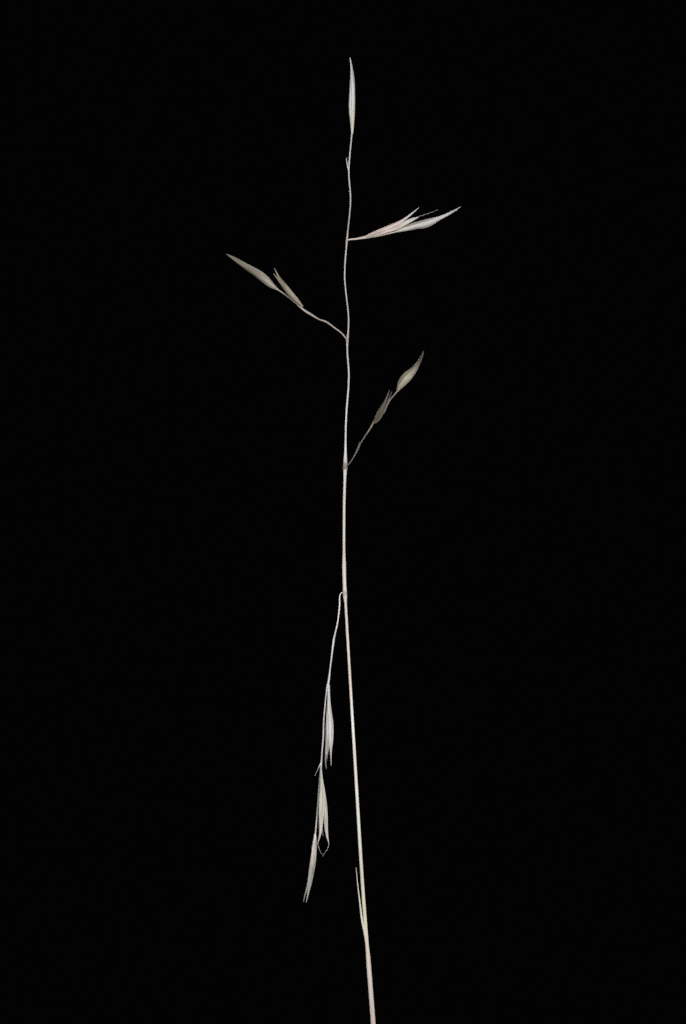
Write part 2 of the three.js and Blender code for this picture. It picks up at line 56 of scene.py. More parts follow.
# Pot, as in the frame
POT_HEIGHT = 85
FOOT_RADIUS = 34
SHOULDER_RADIUS = 46.5
RIM_RADIUS = 52
RIM_HEIGHT = 18
MOUTH_RADIUS = 45.7
WALL = 4.5
FLOOR = 6.5
DRAINS = 3
DRAIN_RADIUS = 3.5
DRAIN_RING = 15
POT_SIDES = 224
CHIPS = 16
CHIP_DEPTH = 0.35

# Soil, as in the frame
SOIL_LEVEL = 74
MOUND_HEIGHT = 2.2
MOUND_RADIUS = 22
SOIL_SIDES = 300
SOIL_ROWS = 110

# Bits half sunk in the soil: how many, least and greatest length, and thickness as a share of the length
BITS = {
    "grit": (130, 0.7, 1.9, 0.8),
    "bark": (50, 1.8, 5.2, 0.28),
    "perlite": (46, 0.9, 2.3, 0.9),
}
SCRAPS = 18
MOST_TRIES = 40

# Grass, as in the frame
FOOT_LEVEL = 65.3
CLEARANCE = 0.3
TILLERS = 9
BLADES_PER_TILLER = 4
TILLER_RING = 6.4
OLD_TUFTS = 9
OLD_RING = 10.4

# Thin tissue
SHEATH_ROLL = 2.95
LEAF_THICKNESS = 0.16
TISSUE_THICKNESS = 0.07
SUBSURFACE_DEPTH = 0.3
HUSK_WRAP = 2.3
HUSK_NERVES = (0.5, 1.0, 1.5, 1.9)

# Stem, whose centreline is as in the solids
CULM_LINE = np.array([
    (0, 0, FOOT_LEVEL),
    (-0.3, 0, 88),
    (-1.3, 0.2, 118),
    (-3, 0.5, 160),
    (-5.1, 0.7, 198),
    (-7.2, 0.7, 226.8),
    (-9, 0.4, 250),
    (-10.6, 0.1, 276),
    (-12, 0, 299.6),
    (-12.35, 0.2, 306),
    (-12.4, 0.3, 319),
    (-12.2, 0.5, 326.9),
    (-12.05, 0.4, 335),
    (-11.55, 0, 342.8),
    (-11.85, -0.3, 347.8),
    (-11.6, -0.2, 353),
    (-12.3, 0.3, 360.7),
    (-11.9, 0.4, 367.2),
    (-11.25, 0.1, 374.5),
    (-11.55, -0.2, 379.6),
    (-11, 0, 386.6),
])

# Height and half-width of the bare stem, thinner above each joint
CULM_WIDTHS = [
    (65, 0.55), (112, 0.5), (159, 0.47), (172, 0.47), (241, 0.32), (268, 0.27), (284, 0.235), (302, 0.225),
    (303, 0.3), (309, 0.33), (311, 0.225), (324, 0.23), (329.5, 0.21), (331.5, 0.155), (349, 0.145), (356, 0.118),
    (370, 0.12), (387, 0.127),
]

# Each joint's height, how much wider the stem is there, and how far along it swells
CULM_JOINTS = {
    "lower": (112, 0.3, 1.3),
    "upper": (172, 0.26, 1.2),
    "drooping": (303.6, 0.08, 0.8),
    "lower_right": (326.7, 0.15, 1.6),
    "left": (349.3, 0.07, 0.9),
    "upper_right": (367.3, 0.08, 0.8),
}

# Flag leaf, the stub of a lost spikelet, and the collar
SHEATH_FOOT = 172.6
SHEATH_TOP = 236
REMNANT_FOOT = 240
REMNANT_STEPS = [
    (0, 0, 0), (-0.35, -0.1, 2), (-0.88, -0.15, 4.6), (-1.42, -0.2, 8.8), (-1.76, -0.2, 11.6), (-2.02, -0.2, 14.3),
]
STUB_FOOT = 379.6
COLLAR_TOP = 327.1
COLLAR_TEETH = 12

# Hairs
BRANCH_HAIRS = 60
TORN_SHREDS = 24
BEARD_HAIRS = 12

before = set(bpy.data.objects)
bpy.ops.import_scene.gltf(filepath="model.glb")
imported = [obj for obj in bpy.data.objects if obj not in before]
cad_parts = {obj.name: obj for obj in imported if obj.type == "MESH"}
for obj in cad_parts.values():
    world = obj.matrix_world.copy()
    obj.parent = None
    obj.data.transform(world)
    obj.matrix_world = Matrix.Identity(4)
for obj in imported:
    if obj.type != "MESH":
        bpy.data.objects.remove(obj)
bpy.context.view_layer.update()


# Chance, directions and lines

def outwards(azimuth):
    angle = math.radians(azimuth)
    return np.array((math.cos(angle), math.sin(angle), 0.0))


def seeded(seed):
    """The same small generator of chance as the solids use."""
    state = seed

    def chance(low, high):
        nonlocal state
        state = state * 16807 % 2147483647
        return low + (high - low) * state / 2147483647

    return chance


def ease(value, low, high):
    """0 below low, 1 above high, and smooth between them."""
    share = np.clip((np.asarray(value, float) - low) / (high - low), 0, 1)
    return share * share * (3 - 2 * share)


def spline(points, count):
    """Evenly spaced stations on the centripetal curve through the points. Columns past the third go along."""
    points = np.asarray(points, float)
    padded = np.vstack((2 * points[0] - points[1], points, 2 * points[-1] - points[-2]))
    gaps = np.sqrt(np.maximum(np.linalg.norm(np.diff(padded[:, :3], axis=0), axis=1), 0.01))[:, None]
    place = np.linspace(0, len(points) - 1, 16 * (len(points) - 1) + 1)
    k = np.minimum(place.astype(int), len(points) - 2)
    w = (place - k)[:, None]
    a, b, c, d = (padded[k + i] for i in range(4))
    before, here, after = (gaps[k + i] for i in range(3))
    start = ((b - a) / before - (c - a) / (before + here) + (c - b) / here) * here
    end = ((c - b) / here - (d - b) / (here + after) + (d - c) / after) * here
    curve = b + start * w + (3 * (c - b) - 2 * start - end) * w**2 + (2 * (b - c) + start + end) * w**3
    reach = np.concatenate(([0], np.cumsum(np.linalg.norm(np.diff(curve[:, :3], axis=0), axis=1))))
    wanted = np.linspace(0, reach[-1], count)
    return np.stack([np.interp(wanted, reach, column) for column in curve.T], axis=1)


def unit(vectors):
    return vectors / np.linalg.norm(vectors, axis=-1, keepdims=True)


def square_to(vector, ahead):
    return unit(vector - np.dot(vector, ahead) * ahead)


def any_way(chance):
    return unit(np.array([chance(-1, 1) for _ in range(3)]))


def frames(points, hint):
    """At each point, the way to the side, as near to the hint as it can be, and the way across."""
    along = unit(np.gradient(points, axis=0))
    hint = np.broadcast_to(hint, points.shape)
    side = unit(hint - np.sum(hint * along, axis=1, keepdims=True) * along)
    return side, np.cross(along, side)


# Skins: every stem, husk and leaf is a closed loft over rings of corners

def quads(index):
    """The faces between each row of corners and the next, all the way round."""
    turned = np.roll(index, -1, axis=1)
    return np.stack((index[:-1], turned[:-1], turned[1:], index[1:]), axis=-1).reshape(-1, 4)


class Skin:
    """Gathers lofts, then makes one mesh of them.

    The map's u is the place across a loft plus the loft's own number, and v is the place along it.
    """

    def __init__(self, first_number=0):
        self.points = []
        self.faces = []
        self.maps = []
        self.slots = []
        self.count = 0
        self.number = first_number

    def loft(self, points, hint, section, across, lengths=None, slot=0):
        """section[i, k] is corner k of ring i, to the side and across. A lid joins it to the k-th from the end."""
        side, normal = frames(points, hint)
        rings = points[:, None] + side[:, None] * section[..., :1] + normal[:, None] * section[..., 1:]
        rows, corners = section.shape[:2]
        index = self.count + np.arange(rows * corners).reshape(rows, corners)
        near = index[:, : corners // 2]
        far = index[:, ::-1][:, : corners // 2]
        lids = np.stack((near[:, :-1], near[:, 1:], far[:, 1:], far[:, :-1]), axis=-1)
        faces = np.vstack((quads(index), lids[0][:, ::-1], lids[-1]))
        if lengths is None:
            lengths = np.linspace(0, 1, rows)
        u = np.broadcast_to(0.02 + 0.96 * across + self.number, (rows, corners))
        v = np.broadcast_to(np.asarray(lengths)[:, None], (rows, corners))
        self.points.append(rings.reshape(-1, 3))
        self.faces.append(faces)
        self.maps.append(np.stack((u, v), axis=-1).reshape(-1, 2))
        self.slots.append(np.full(len(faces), slot))
        self.count += rows * corners
        self.number += 1

    def tube(self, points, radius, hint=BACK, flat=1.0, sides=10, lengths=None, slot=0, ribs=0.0, rib_count=7):
        """A stem whose section is an oval: the radius across, and flat times that front to back."""
        angle = 2 * math.pi * (np.arange(sides) + 0.5) / sides
        radius = np.broadcast_to(radius, len(points))[:, None]
        ribbed = radius * (1 + ribs * np.cos(rib_count * angle))
        section = np.stack((flat * ribbed * np.cos(angle), ribbed * np.sin(angle)), axis=-1)
        across = 1 - np.abs(2 * (np.arange(sides) + 0.5) / sides - 1)
        self.loft(points, hint, section, across, lengths, slot)

    def shell(self, points, hint, sheet, thickness, lengths=None, slot=0):
        """A thin shell under a sheet. sheet[i, k] runs over the top of section i from one side to the other."""
        run = np.gradient(sheet, axis=1)
        out = unit(np.stack((run[..., 1], -run[..., 0]), axis=-1))
        under = sheet - out * np.broadcast_to(thickness, sheet.shape[:2])[..., None]
        section = np.concatenate((sheet, under[:, ::-1]), axis=1)
        across = np.linspace(0, 1, sheet.shape[1])
        self.loft(points, hint, section, np.concatenate((across, across[::-1])), lengths, slot)

    def hair(self, root, tip, radius, sag=0.0, slot=0):
        """A fine tapering hair that bows a little."""
        root = np.asarray(root, float)
        tip = np.asarray(tip, float)
        share = np.linspace(0, 1, 5)[:, None]
        points = root + (tip - root) * share - UP * sag * np.sin(math.pi * share)
        hint = np.cross(tip - root, (0.31, 0.52, 0.79))
        self.tube(points, radius * (1 - 0.85 * share[:, 0]), hint, sides=4, slot=slot)

    def mesh(self, name):
        mesh = bpy.data.meshes.new(name)
        points = np.concatenate(self.points) * MM
        faces = np.concatenate(self.faces)
        corners = faces.ravel()
        mesh.vertices.add(len(points))
        mesh.vertices.foreach_set("co", points.ravel())
        mesh.loops.add(len(corners))
        mesh.loops.foreach_set("vertex_index", corners)
        mesh.polygons.add(len(faces))
        mesh.polygons.foreach_set("loop_start", np.arange(0, len(corners), 4))
        mesh.polygons.foreach_set("material_index", np.concatenate(self.slots))
        layer = mesh.uv_layers.new(name="UVMap")
        layer.uv.foreach_set("vector", np.concatenate(self.maps)[corners].ravel())
        mesh.update()
        mesh.validate()
        return mesh


def revolved(name, rings, first, last):
    """A closed mesh over rings of corners, with a fan of faces to a middle point at either end."""
    rows, sides = rings.shape[:2]
    index = np.arange(rows * sides).reshape(rows, sides)
    turned = np.roll(index, -1, axis=1)
    faces = quads(index).tolist()
    faces += [(rows * sides, turned[0, k], index[0, k]) for k in range(sides)]
    faces += [(rows * sides + 1, index[-1, k], turned[-1, k]) for k in range(sides)]
    points = np.vstack((rings.reshape(-1, 3), first, last)) * MM
    mesh = bpy.data.meshes.new(name)
    mesh.from_pydata(points.tolist(), [], faces)
    return mesh


def add_piece(mesh, materials, node, sharp_degrees):
    """Shows a finished mesh in place of a node of the frame."""
    mesh.polygons.foreach_set("use_smooth", np.ones(len(mesh.polygons), bool))
    mesh.set_sharp_from_angle(angle=math.radians(sharp_degrees))
    for surface in materials:
        mesh.materials.append(surface)
    piece = bpy.data.objects.new(mesh.name, mesh)
    bpy.context.scene.collection.objects.link(piece)
    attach(piece, "root")
    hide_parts(node)
    return piece


# Materials

class Surface:
    """A material of nodes. Each method adds a node and gives back what comes out of it."""

    def __init__(self, name, specular, sheen=0.0, subsurface=0.0):
        self.material = bpy.data.materials.new(name)
        self.material.use_nodes = True
        self.tree = self.material.node_tree
        self.shader = self.tree.nodes["Principled BSDF"]
        whole = {
            "Specular IOR Level": specular,
            "Sheen Weight": sheen,
            "Subsurface Weight": subsurface,
            "Subsurface Radius": (1.0, 0.8, 0.6),
            "Subsurface Scale": SUBSURFACE_DEPTH * MM,
        }
        for key, value in whole.items():
            self.shader.inputs[key].default_value = value

    def add(self, kind, inputs, **settings):
        node = self.tree.nodes.new(kind)
        for key, value in settings.items():
            setattr(node, key, value)
        for key, value in inputs.items():
            self.feed(node.inputs[key], value)
        return node

    def feed(self, socket, value):
        if isinstance(value, bpy.types.NodeSocket):
            self.tree.links.new(value, socket)
        elif isinstance(value, tuple) and len(value) == 3 and socket.type == "RGBA":
            socket.default_value = (*value, 1.0)
        else:
            socket.default_value = value

    def math(self, operation, a, b=0.0):
        return self.add("ShaderNodeMath", {0: a, 1: b}, operation=operation).outputs[0]

    def times(self, a, b):
        return self.math("MULTIPLY", a, b)

    def plus(self, a, b):
        return self.math("ADD", a, b)

    def span(self, value, low, high, to_low=0.0, to_high=1.0):
        inputs = {"Value": value, "From Min": low, "From Max": high, "To Min": to_low, "To Max": to_high}
        return self.add("ShaderNodeMapRange", inputs, interpolation_type="SMOOTHSTEP").outputs[0]

    def place(self, x, y, z):
        return self.add("ShaderNodeCombineXYZ", {"X": x, "Y": y, "Z": z}).outputs[0]

    def stretched(self, x, y, z):
        """The place on the object in metres, stretched along each axis."""
        where = self.add("ShaderNodeTexCoord", {}).outputs["Object"]
        return self.add("ShaderNodeMapping", {"Vector": where, "Scale": (x, y, z)}).outputs[0]

    def noise(self, where, scale, detail=3.0, roughness=0.55):
        inputs = {"Vector": where, "Scale": scale, "Detail": detail, "Roughness": roughness}
        return self.add("ShaderNodeTexNoise", inputs).outputs[0]

    def grain(self, u, v, offset, across, along, detail, roughness):
        """Noise on a strand, with a scale across it and one along it."""
        where = self.place(self.times(u, across), self.times(v, along), offset)
        return self.noise(where, 1.0, detail, roughness)

    def cells(self, where, scale):
        return self.add("ShaderNodeTexVoronoi", {"Vector": where, "Scale": scale}).outputs["Distance"]

    def ramp(self, value, stops):
        node = self.add("ShaderNodeValToRGB", {"Fac": value})
        node.color_ramp.elements.remove(node.color_ramp.elements[1])
        for i, (position, colour) in enumerate(stops):
            element = node.color_ramp.elements[0] if i == 0 else node.color_ramp.elements.new(position)
            element.position = position
            element.color = (*colour, 1.0)
        return node.outputs["Color"]

    def mix(self, share, a, b, blend="MIX"):
        node = self.add("ShaderNodeMix", {0: share}, data_type="RGBA", blend_type=blend)
        self.feed(node.inputs[6], a)
        self.feed(node.inputs[7], b)
        return node.outputs[2]

    def strand(self):
        """The place across and along a loft, and a chance value that is its own."""
        where = self.add("ShaderNodeUVMap", {}, uv_map="UVMap").outputs[0]
        parts = self.add("ShaderNodeSeparateXYZ", {0: where})
        number = self.math("FLOOR", parts.outputs[0])
        own = self.add("ShaderNodeTexWhiteNoise", {"W": number}, noise_dimensions="1D").outputs[0]
        return self.math("FRACT", parts.outputs[0]), parts.outputs[1], own

    def finish(self, colour, roughness, height=None, relief=0.01, strength=0.6):
        """relief is how high the bumps stand, in millimetres."""
        self.feed(self.shader.inputs["Base Color"], colour)
        self.feed(self.shader.inputs["Roughness"], roughness)
        if height is not None:
            inputs = {"Height": height, "Strength": strength, "Distance": relief * MM}
            self.feed(self.shader.inputs["Normal"], self.add("ShaderNodeBump", inputs).outputs[0])
        return self.material


def plant_surface(name, stops, streaks=0.25, blotch=(0.3, 0.2, 0.12), blotches=0.35, veins=9, along=14.0,
                  edge=(0.75, 0.72, 0.66), margin_tint_and_shade=0.3, tone=0.25, rough=0.6, subsurface=0.0, strands=11.0):
    """Dry tissue: colours from foot to tip, fibres, veins, blotches, a tint at the margins, and a tone of its own
    for each. A darker margin tint is painted shade.
    """
    s = Surface(name, specular=0.3, sheen=0.08, subsurface=subsurface)
    u, v, own = s.strand()
    offset = s.times(own, 37.0)
    fibres = s.grain(u, v, offset, strands, along, 2.0, 0.5)
    broad = s.grain(u, v, offset, 2.5, along * 0.6, 4.0, 0.6)
    spots = s.grain(u, v, offset, 7.0, along * 3.0, 2.0, 0.5)
    vein = s.math("COSINE", s.times(u, 2 * math.pi * veins))
    colour = s.ramp(s.plus(v, s.times(s.math("SUBTRACT", broad, 0.5), 0.35)), stops)
    colour = s.mix(s.span(broad, 0.52, 0.75, 0.0, blotches), colour, blotch)
    colour = s.mix(s.span(spots, 0.66, 0.76, 0.0, blotches), colour, blotch)
    colour = s.mix(s.times(s.span(fibres, 0.35, 0.7), streaks), colour, (0.42, 0.36, 0.28), "MULTIPLY")
    colour = s.mix(s.span(vein, 0.2, 1.0, 0.0, streaks * 0.6), colour, (0.5, 0.45, 0.38), "MULTIPLY")
    from_middle = s.math("ABSOLUTE", s.math("SUBTRACT", u, 0.5))
    # margin tint: a paler one is the tissue's own colour, a darker one is painted shade
    colour = s.mix(s.span(from_middle, 0.38, 0.5, 0.0, margin_tint_and_shade), colour, edge)
    colour = s.mix(s.times(own, tone), colour, (0.45, 0.4, 0.33), "MULTIPLY")
    roughness = s.span(fibres, 0.3, 0.7, rough - 0.12, rough + 0.15)
    height = s.plus(s.times(vein, 0.5), s.times(fibres, 1.2))
    return s.finish(colour, roughness, height, relief=0.006)


def clay_surface():
    """Fired clay: mottled orange with turning lines, a pale bloom at foot and rim, specks and grit."""
    s = Surface("fired_clay", specular=0.25)
    plain = s.stretched(1, 1, 1)
    broad = s.noise(plain, 28.0, 5.0, 0.6)
    clouds = s.noise(plain, 95.0, 5.0, 0.65)
    grit = s.noise(plain, 1400.0, 3.0, 0.7)
    turning = s.noise(s.stretched(6, 6, 520), 1.0, 3.0, 0.6)
    height = s.add("ShaderNodeSeparateXYZ", {0: plain}).outputs[2]
    colour = s.ramp(broad, [(0.3, (0.36, 0.125, 0.055)), (0.5, (0.47, 0.18, 0.085)), (0.72, (0.58, 0.26, 0.14))])
    colour = s.mix(s.span(clouds, 0.45, 0.75, 0.0, 0.5), colour, (0.62, 0.33, 0.2))
    colour = s.mix(s.span(turning, 0.4, 0.65, 0.0, 0.35), colour, (0.3, 0.11, 0.05))
    foot = s.span(height, 0.0, 0.03, 1.0, 0.0)
    band = s.span(height, 0.052, 0.066, 0.0, 1.0)
    damp = s.plus(s.times(foot, 0.9), s.times(band, 0.45))
    bloom = s.times(damp, s.span(s.plus(clouds, s.times(broad, 0.5)), 0.68, 0.92))
    colour = s.mix(s.times(bloom, 0.8), colour, (0.72, 0.6, 0.5))
    specks = s.span(s.cells(plain, 620.0), 0.0, 0.16, 0.55, 0.0)
    colour = s.mix(specks, colour, (0.2, 0.09, 0.05))
    colour = s.mix(s.span(grit, 0.35, 0.65, 0.0, 0.25), colour, (0.75, 0.45, 0.3))
    lines = s.plus(s.times(turning, 1.6), s.times(grit, 0.8))
    return s.finish(colour, s.span(clouds, 0.3, 0.7, 0.78, 0.95), lines, 0.18, 0.5)


def earth_surface():
    """Dry potting soil: dark peat with fibres, lighter dust on the crests and fine crumbs."""
    s = Surface("potting_soil", specular=0.15)
    plain = s.stretched(1, 1, 1)
    broad = s.noise(plain, 60.0, 4.0, 0.6)
    crumbs = s.noise(plain, 420.0, 6.0, 0.75)
    fibres = s.noise(s.stretched(900, 160, 400), 1.0, 3.0, 0.6)
    peat = [(0.3, (0.018, 0.012, 0.008)), (0.5, (0.05, 0.033, 0.021)), (0.68, (0.115, 0.078, 0.05))]
    colour = s.mix(s.span(broad, 0.45, 0.7, 0.0, 0.45), s.ramp(crumbs, peat), (0.13, 0.095, 0.066))
    colour = s.mix(s.span(fibres, 0.66, 0.74, 0.0, 0.6), colour, (0.24, 0.16, 0.09))
    return s.finish(colour, s.span(crumbs, 0.3, 0.7, 0.85, 1.0), crumbs, 0.6, 0.8)


def stone_surface(name, dark, pale):
    """A bit of grit, bark or perlite, in two tones that differ from bit to bit."""
    s = Surface(name, specular=0.25)
    plain = s.stretched(1, 1, 1)
    mottle = s.noise(plain, 900.0, 4.0, 0.7)
    broad = s.noise(plain, 140.0, 2.0, 0.5)
    colour = s.mix(s.span(broad, 0.35, 0.65), dark, pale)
    colour = s.mix(s.span(mottle, 0.4, 0.7, 0.0, 0.5), colour, dark)
    return s.finish(colour, s.span(mottle, 0.3, 0.7, 0.75, 0.95), mottle, 0.12, 0.6)


def floor_surface():
    """A pale matt floor with a painted pool of light: its pale colour fades to near black towards its edge."""
    s = Surface("floor", specular=0.0)
    plain = s.stretched(1, 1, 1)
    distance = s.add("ShaderNodeVectorMath", {0: plain}, operation="LENGTH").outputs["Value"]
    grain = s.noise(plain, 260.0, 3.0, 0.6)
    pale = s.mix(s.span(grain, 0.3, 0.7, 0.0, 1.0), (0.7, 0.69, 0.67), (0.74, 0.73, 0.71))
    # painted pool of light: the floor's colour fades to near black with the distance from the middle
    colour = s.mix(s.span(distance, PAINTED_LIGHT_POOL_START, PAINTED_LIGHT_POOL_END), pale, (0.0003, 0.0003, 0.0003))
    return s.finish(colour, s.span(grain, 0.3, 0.7, 0.9, 1.0))


# Camera and stage

def add_camera():
    distance = FRAME_HEIGHT_PIXELS * PIXEL * LENS / SENSOR
    data = bpy.data.cameras.new("camera")
    data.lens = LENS
    data.sensor_width = SENSOR
    camera = bpy.data.objects.new("camera", data)
    camera.location = (AIM[0] * MM, -distance * MM, AIM[2] * MM)
    camera.rotation_euler = (math.pi / 2, 0, 0)
    bpy.context.scene.collection.objects.link(camera)
    bpy.context.scene.camera = camera


def add_light(name, position, power, size, colour):
    data = bpy.data.lights.new(name, "AREA")
    data.shape = "DISK"
    data.size = size
    data.energy = power
    data.color = colour
    light = bpy.data.objects.new(name, data)
    light.location = position
    towards = Vector(LIGHTS_AIM) - light.location
    light.rotation_euler = towards.to_track_quat("-Z", "Y").to_euler()
    light.visible_camera = False
    bpy.context.scene.collection.objects.link(light)


def add_stage():
    bpy.ops.mesh.primitive_circle_add(vertices=128, radius=FLOOR_RADIUS * MM, fill_type="NGON")
    floor = bpy.context.object
    floor.name = "floor"
    floor.data.materials.append(floor_surface())
    for name, light in LIGHTS.items():
        add_light(name, *light)
    world = bpy.data.worlds.new("dark_room")
    world.use_nodes = True
    world.node_tree.nodes["Background"].inputs["Color"].default_value = ROOM_COLOUR
    bpy.context.scene.world = world
    bpy.context.scene.view_settings.view_transform = "Standard"


# Pot

def inner_radius_at(height):
    foot = FOOT_RADIUS - WALL
    return foot + (MOUTH_RADIUS - foot) * (height - FLOOR) / (POT_HEIGHT - FLOOR)


def pot_profile():
    """Radius and height round the section of the wall, from the middle underneath to the middle inside."""
    shoulder = POT_HEIGHT - RIM_HEIGHT
    stretches = [
        ("line", (0, 0), (FOOT_RADIUS - 1.5, 0), 14),
        ("arc", (FOOT_RADIUS, 0), (FOOT_RADIUS + 0.3, 1.5), 6),
        ("line", None, (SHOULDER_RADIUS, shoulder - 1.5), 60),
        ("arc", (SHOULDER_RADIUS + 0.3, shoulder), (SHOULDER_RADIUS + 2, shoulder), 8),
        ("line", None, (RIM_RADIUS - 2, shoulder), 3),
        ("arc", (RIM_RADIUS - 0.6, shoulder), (RIM_RADIUS - 0.6, shoulder + 1.5), 6),
        ("line", None, (RIM_RADIUS, POT_HEIGHT - 2), 20),
        ("arc", (RIM_RADIUS, POT_HEIGHT), (RIM_RADIUS - 2, POT_HEIGHT), 8),
        ("line", None, (MOUTH_RADIUS + 1.5, POT_HEIGHT), 5),
        ("arc", (MOUTH_RADIUS, POT_HEIGHT), (inner_radius_at(POT_HEIGHT - 1.5), POT_HEIGHT - 1.5), 6),
        ("line", None, (inner_radius_at(FLOOR + 2), FLOOR + 2), 50),
        ("arc", (inner_radius_at(FLOOR), FLOOR), (inner_radius_at(FLOOR) - 2, FLOOR), 5),
        ("line", None, (0, FLOOR), 14),
    ]
    outline = [(0.0, 0.0)]
    for kind, middle, end, count in stretches:
        start = np.array(outline[-1])
        for i in range(1, count + 1):
            t = i / count
            if kind == "line":
                point = start + (np.array(end) - start) * t
            else:
                point = start * (1 - t) ** 2 + np.array(middle) * 2 * t * (1 - t) + np.array(end) * t * t
            outline.append(tuple(point))
    return np.array(outline)


def build_pot():
    outline = pot_profile()[1:-1]
    angle = 2 * math.pi * np.arange(POT_SIDES) / POT_SIDES
    radius = outline[:, :1] + np.zeros(POT_SIDES)
    height = outline[:, 1:] + np.zeros(POT_SIDES)
    outside = np.arange(len(outline)) < len(outline) * 0.62
    wall = (outline[:, 0] > FOOT_RADIUS - 4) & outside
    turning = 0.05 * np.sin(outline[:, 1] * 2.9) + 0.03 * np.sin(outline[:, 1] * 7.3 + 1.0)
    uneven = 0.12 * np.sin(2 * angle + 0.4) + 0.05 * np.sin(5 * angle + 2.0)
    radius += (wall * turning)[:, None] * (1 + 0.3 * np.sin(angle * 3)) - 0.17 + uneven
    chance = seeded(4242)
    for _ in range(CHIPS):
        # A chip sits on the rim's upper outer edge, or now and then on the rim's lower edge.
        where = math.radians(chance(0, 360))
        edge = (RIM_RADIUS - 0.5, POT_HEIGHT - 0.3)
        if chance(0, 1) < 0.4:
            edge = (RIM_RADIUS - 0.6, POT_HEIGHT - RIM_HEIGHT + 0.3)
        size = chance(0.6, 2.0)
        away = (radius * np.angle(np.exp(1j * (angle - where)))) ** 2
        away = away + (radius - edge[0]) ** 2 + (height - edge[1]) ** 2
        radius -= CHIP_DEPTH * size * np.exp(-away / size**2)
    rings = np.stack((radius * np.cos(angle), radius * np.sin(angle), height), axis=-1)
    whole = revolved("whole_pot", rings, (0, 0, 0), (0, 0, FLOOR))
    add_piece(drilled(whole), [clay_surface()], "pot", 35)


def drilled(mesh):
    """The pot's body with its drain holes cut through the floor."""
    body = bpy.data.objects.new("pot_body", mesh)
    bpy.context.scene.collection.objects.link(body)
    cutters = []
    for k in range(DRAINS):
        centre = outwards(360 / DRAINS * k + 90) * DRAIN_RING
        bpy.ops.mesh.primitive_cone_add(
            vertices=48, radius1=(DRAIN_RADIUS + 0.15) * MM, radius2=(DRAIN_RADIUS - 0.15) * MM,
            depth=3 * FLOOR * MM, location=(centre[0] * MM, centre[1] * MM, FLOOR / 2 * MM))
        cutters.append(bpy.context.object)
        cut = body.modifiers.new(f"drain_{k + 1}", "BOOLEAN")
        cut.operation = "DIFFERENCE"
        cut.solver = "EXACT"
        cut.object = cutters[-1]
    seen = body.evaluated_get(bpy.context.evaluated_depsgraph_get())
    pierced = bpy.data.meshes.new_from_object(seen)
    pierced.name = "terracotta_pot"
    for scrap in (body, *cutters):
        bpy.data.objects.remove(scrap)
    bpy.data.meshes.remove(mesh)
    return pierced


# Soil

def soil_height(x, y):
    mound = MOUND_HEIGHT * np.exp(-(x * x + y * y) / MOUND_RADIUS**2)
    broad = 0.7 * np.sin(x * 0.21 + 1.3) * np.cos(y * 0.17 - 0.4)
    crumbs = 0.4 * np.sin(x * 0.9 + y * 0.5) * np.cos(y * 0.8 - x * 0.3)
    return SOIL_LEVEL + mound + broad + crumbs


def crumbled(x, y):
    """How far the soil's crumbs stand above or below its plain level."""
    coarse = noise.fractal(Vector((x * 0.35, y * 0.35, 3.0)), 0.8, 2.1, 5)
    lumps = noise.cell(Vector((x * 0.5, y * 0.5, 9.0)))
    fine = noise.noise(Vector((x * 2.1, y * 2.1, 5.0)))
    return 0.75 * coarse + 0.2 * lumps + 0.22 * fine


def build_soil():
    bottom = FLOOR + CLEARANCE
    edge = SOIL_LEVEL - 3
    widest = inner_radius_at(edge) - 2 * CLEARANCE
    wall = [
        (inner_radius_at(bottom) - 3, bottom),
        (inner_radius_at(bottom + 3) - 2 * CLEARANCE, bottom + 3),
        (widest, edge),
    ]
    angle = 2 * math.pi * np.arange(SOIL_SIDES) / SOIL_SIDES
    rings = [np.stack((r * np.cos(angle), r * np.sin(angle), np.full(SOIL_SIDES, z)), axis=-1) for r, z in wall]
    for j in range(SOIL_ROWS):
        share = j / SOIL_ROWS
        radius = widest * (1 - share) + 0.25 * (1 - ease(share, 0, 0.08))
        x = radius * np.cos(angle)
        y = radius * np.sin(angle)
        worn = float(ease(share, 0.0, 0.03))
        rough = np.array([crumbled(a, b) for a, b in zip(x, y)]) * min(1.0, radius / 3)
        z = soil_height(x, y) + rough * (0.4 + 0.6 * worn) - 0.8 * (1 - worn)
        rings.append(np.stack((x, y, z), axis=-1))
    mesh = revolved("potting_soil", np.stack(rings), (0, 0, bottom), (0, 0, soil_height(0, 0)))
    add_piece(mesh, [earth_surface()], "soil", 80)


def ground(x, y):
    return np.array((x, y, soil_height(x, y) + crumbled(x, y)))


def bare_spot(chance, taken, size):
    """A place on the soil clear of the plant and the wall and, if one is soon found, of what already lies there."""
    for _ in range(MOST_TRIES):
        spot = outwards(chance(0, 360)) * MOUTH_RADIUS * math.sqrt(chance(0.09, 0.72))
        if all(np.linalg.norm(spot - other) > size + reach for other, reach in taken):
            break
    taken.append((spot, size))
    return spot[0], spot[1]


def add_bit(skin, chance, taken, length, thick, slot):
    """An uneven pebble or chip, half sunk in the soil."""
    x, y = bare_spot(chance, taken, length * 0.45)
    t = np.sin(np.linspace(-1, 1, 9) * math.pi / 2)
    along = outwards(chance(0, 360)) + UP * chance(-0.2, 0.2)
    bend = outwards(chance(0, 360)) * length * 0.1
    middle = ground(x, y) + UP * 0.1 * length * thick
    line = middle + t[:, None] * along * length / 2 + (1 - t**2)[:, None] * bend
    uneven = np.array([chance(0.75, 1.2) for _ in t])
    radius = length * thick / 2 * np.sqrt(np.maximum(1 - t * t, 0.03)) * uneven
    skin.tube(line, radius, UP, flat=chance(0.5, 0.9), sides=9, ribs=chance(0.04, 0.16), rib_count=3, slot=slot)


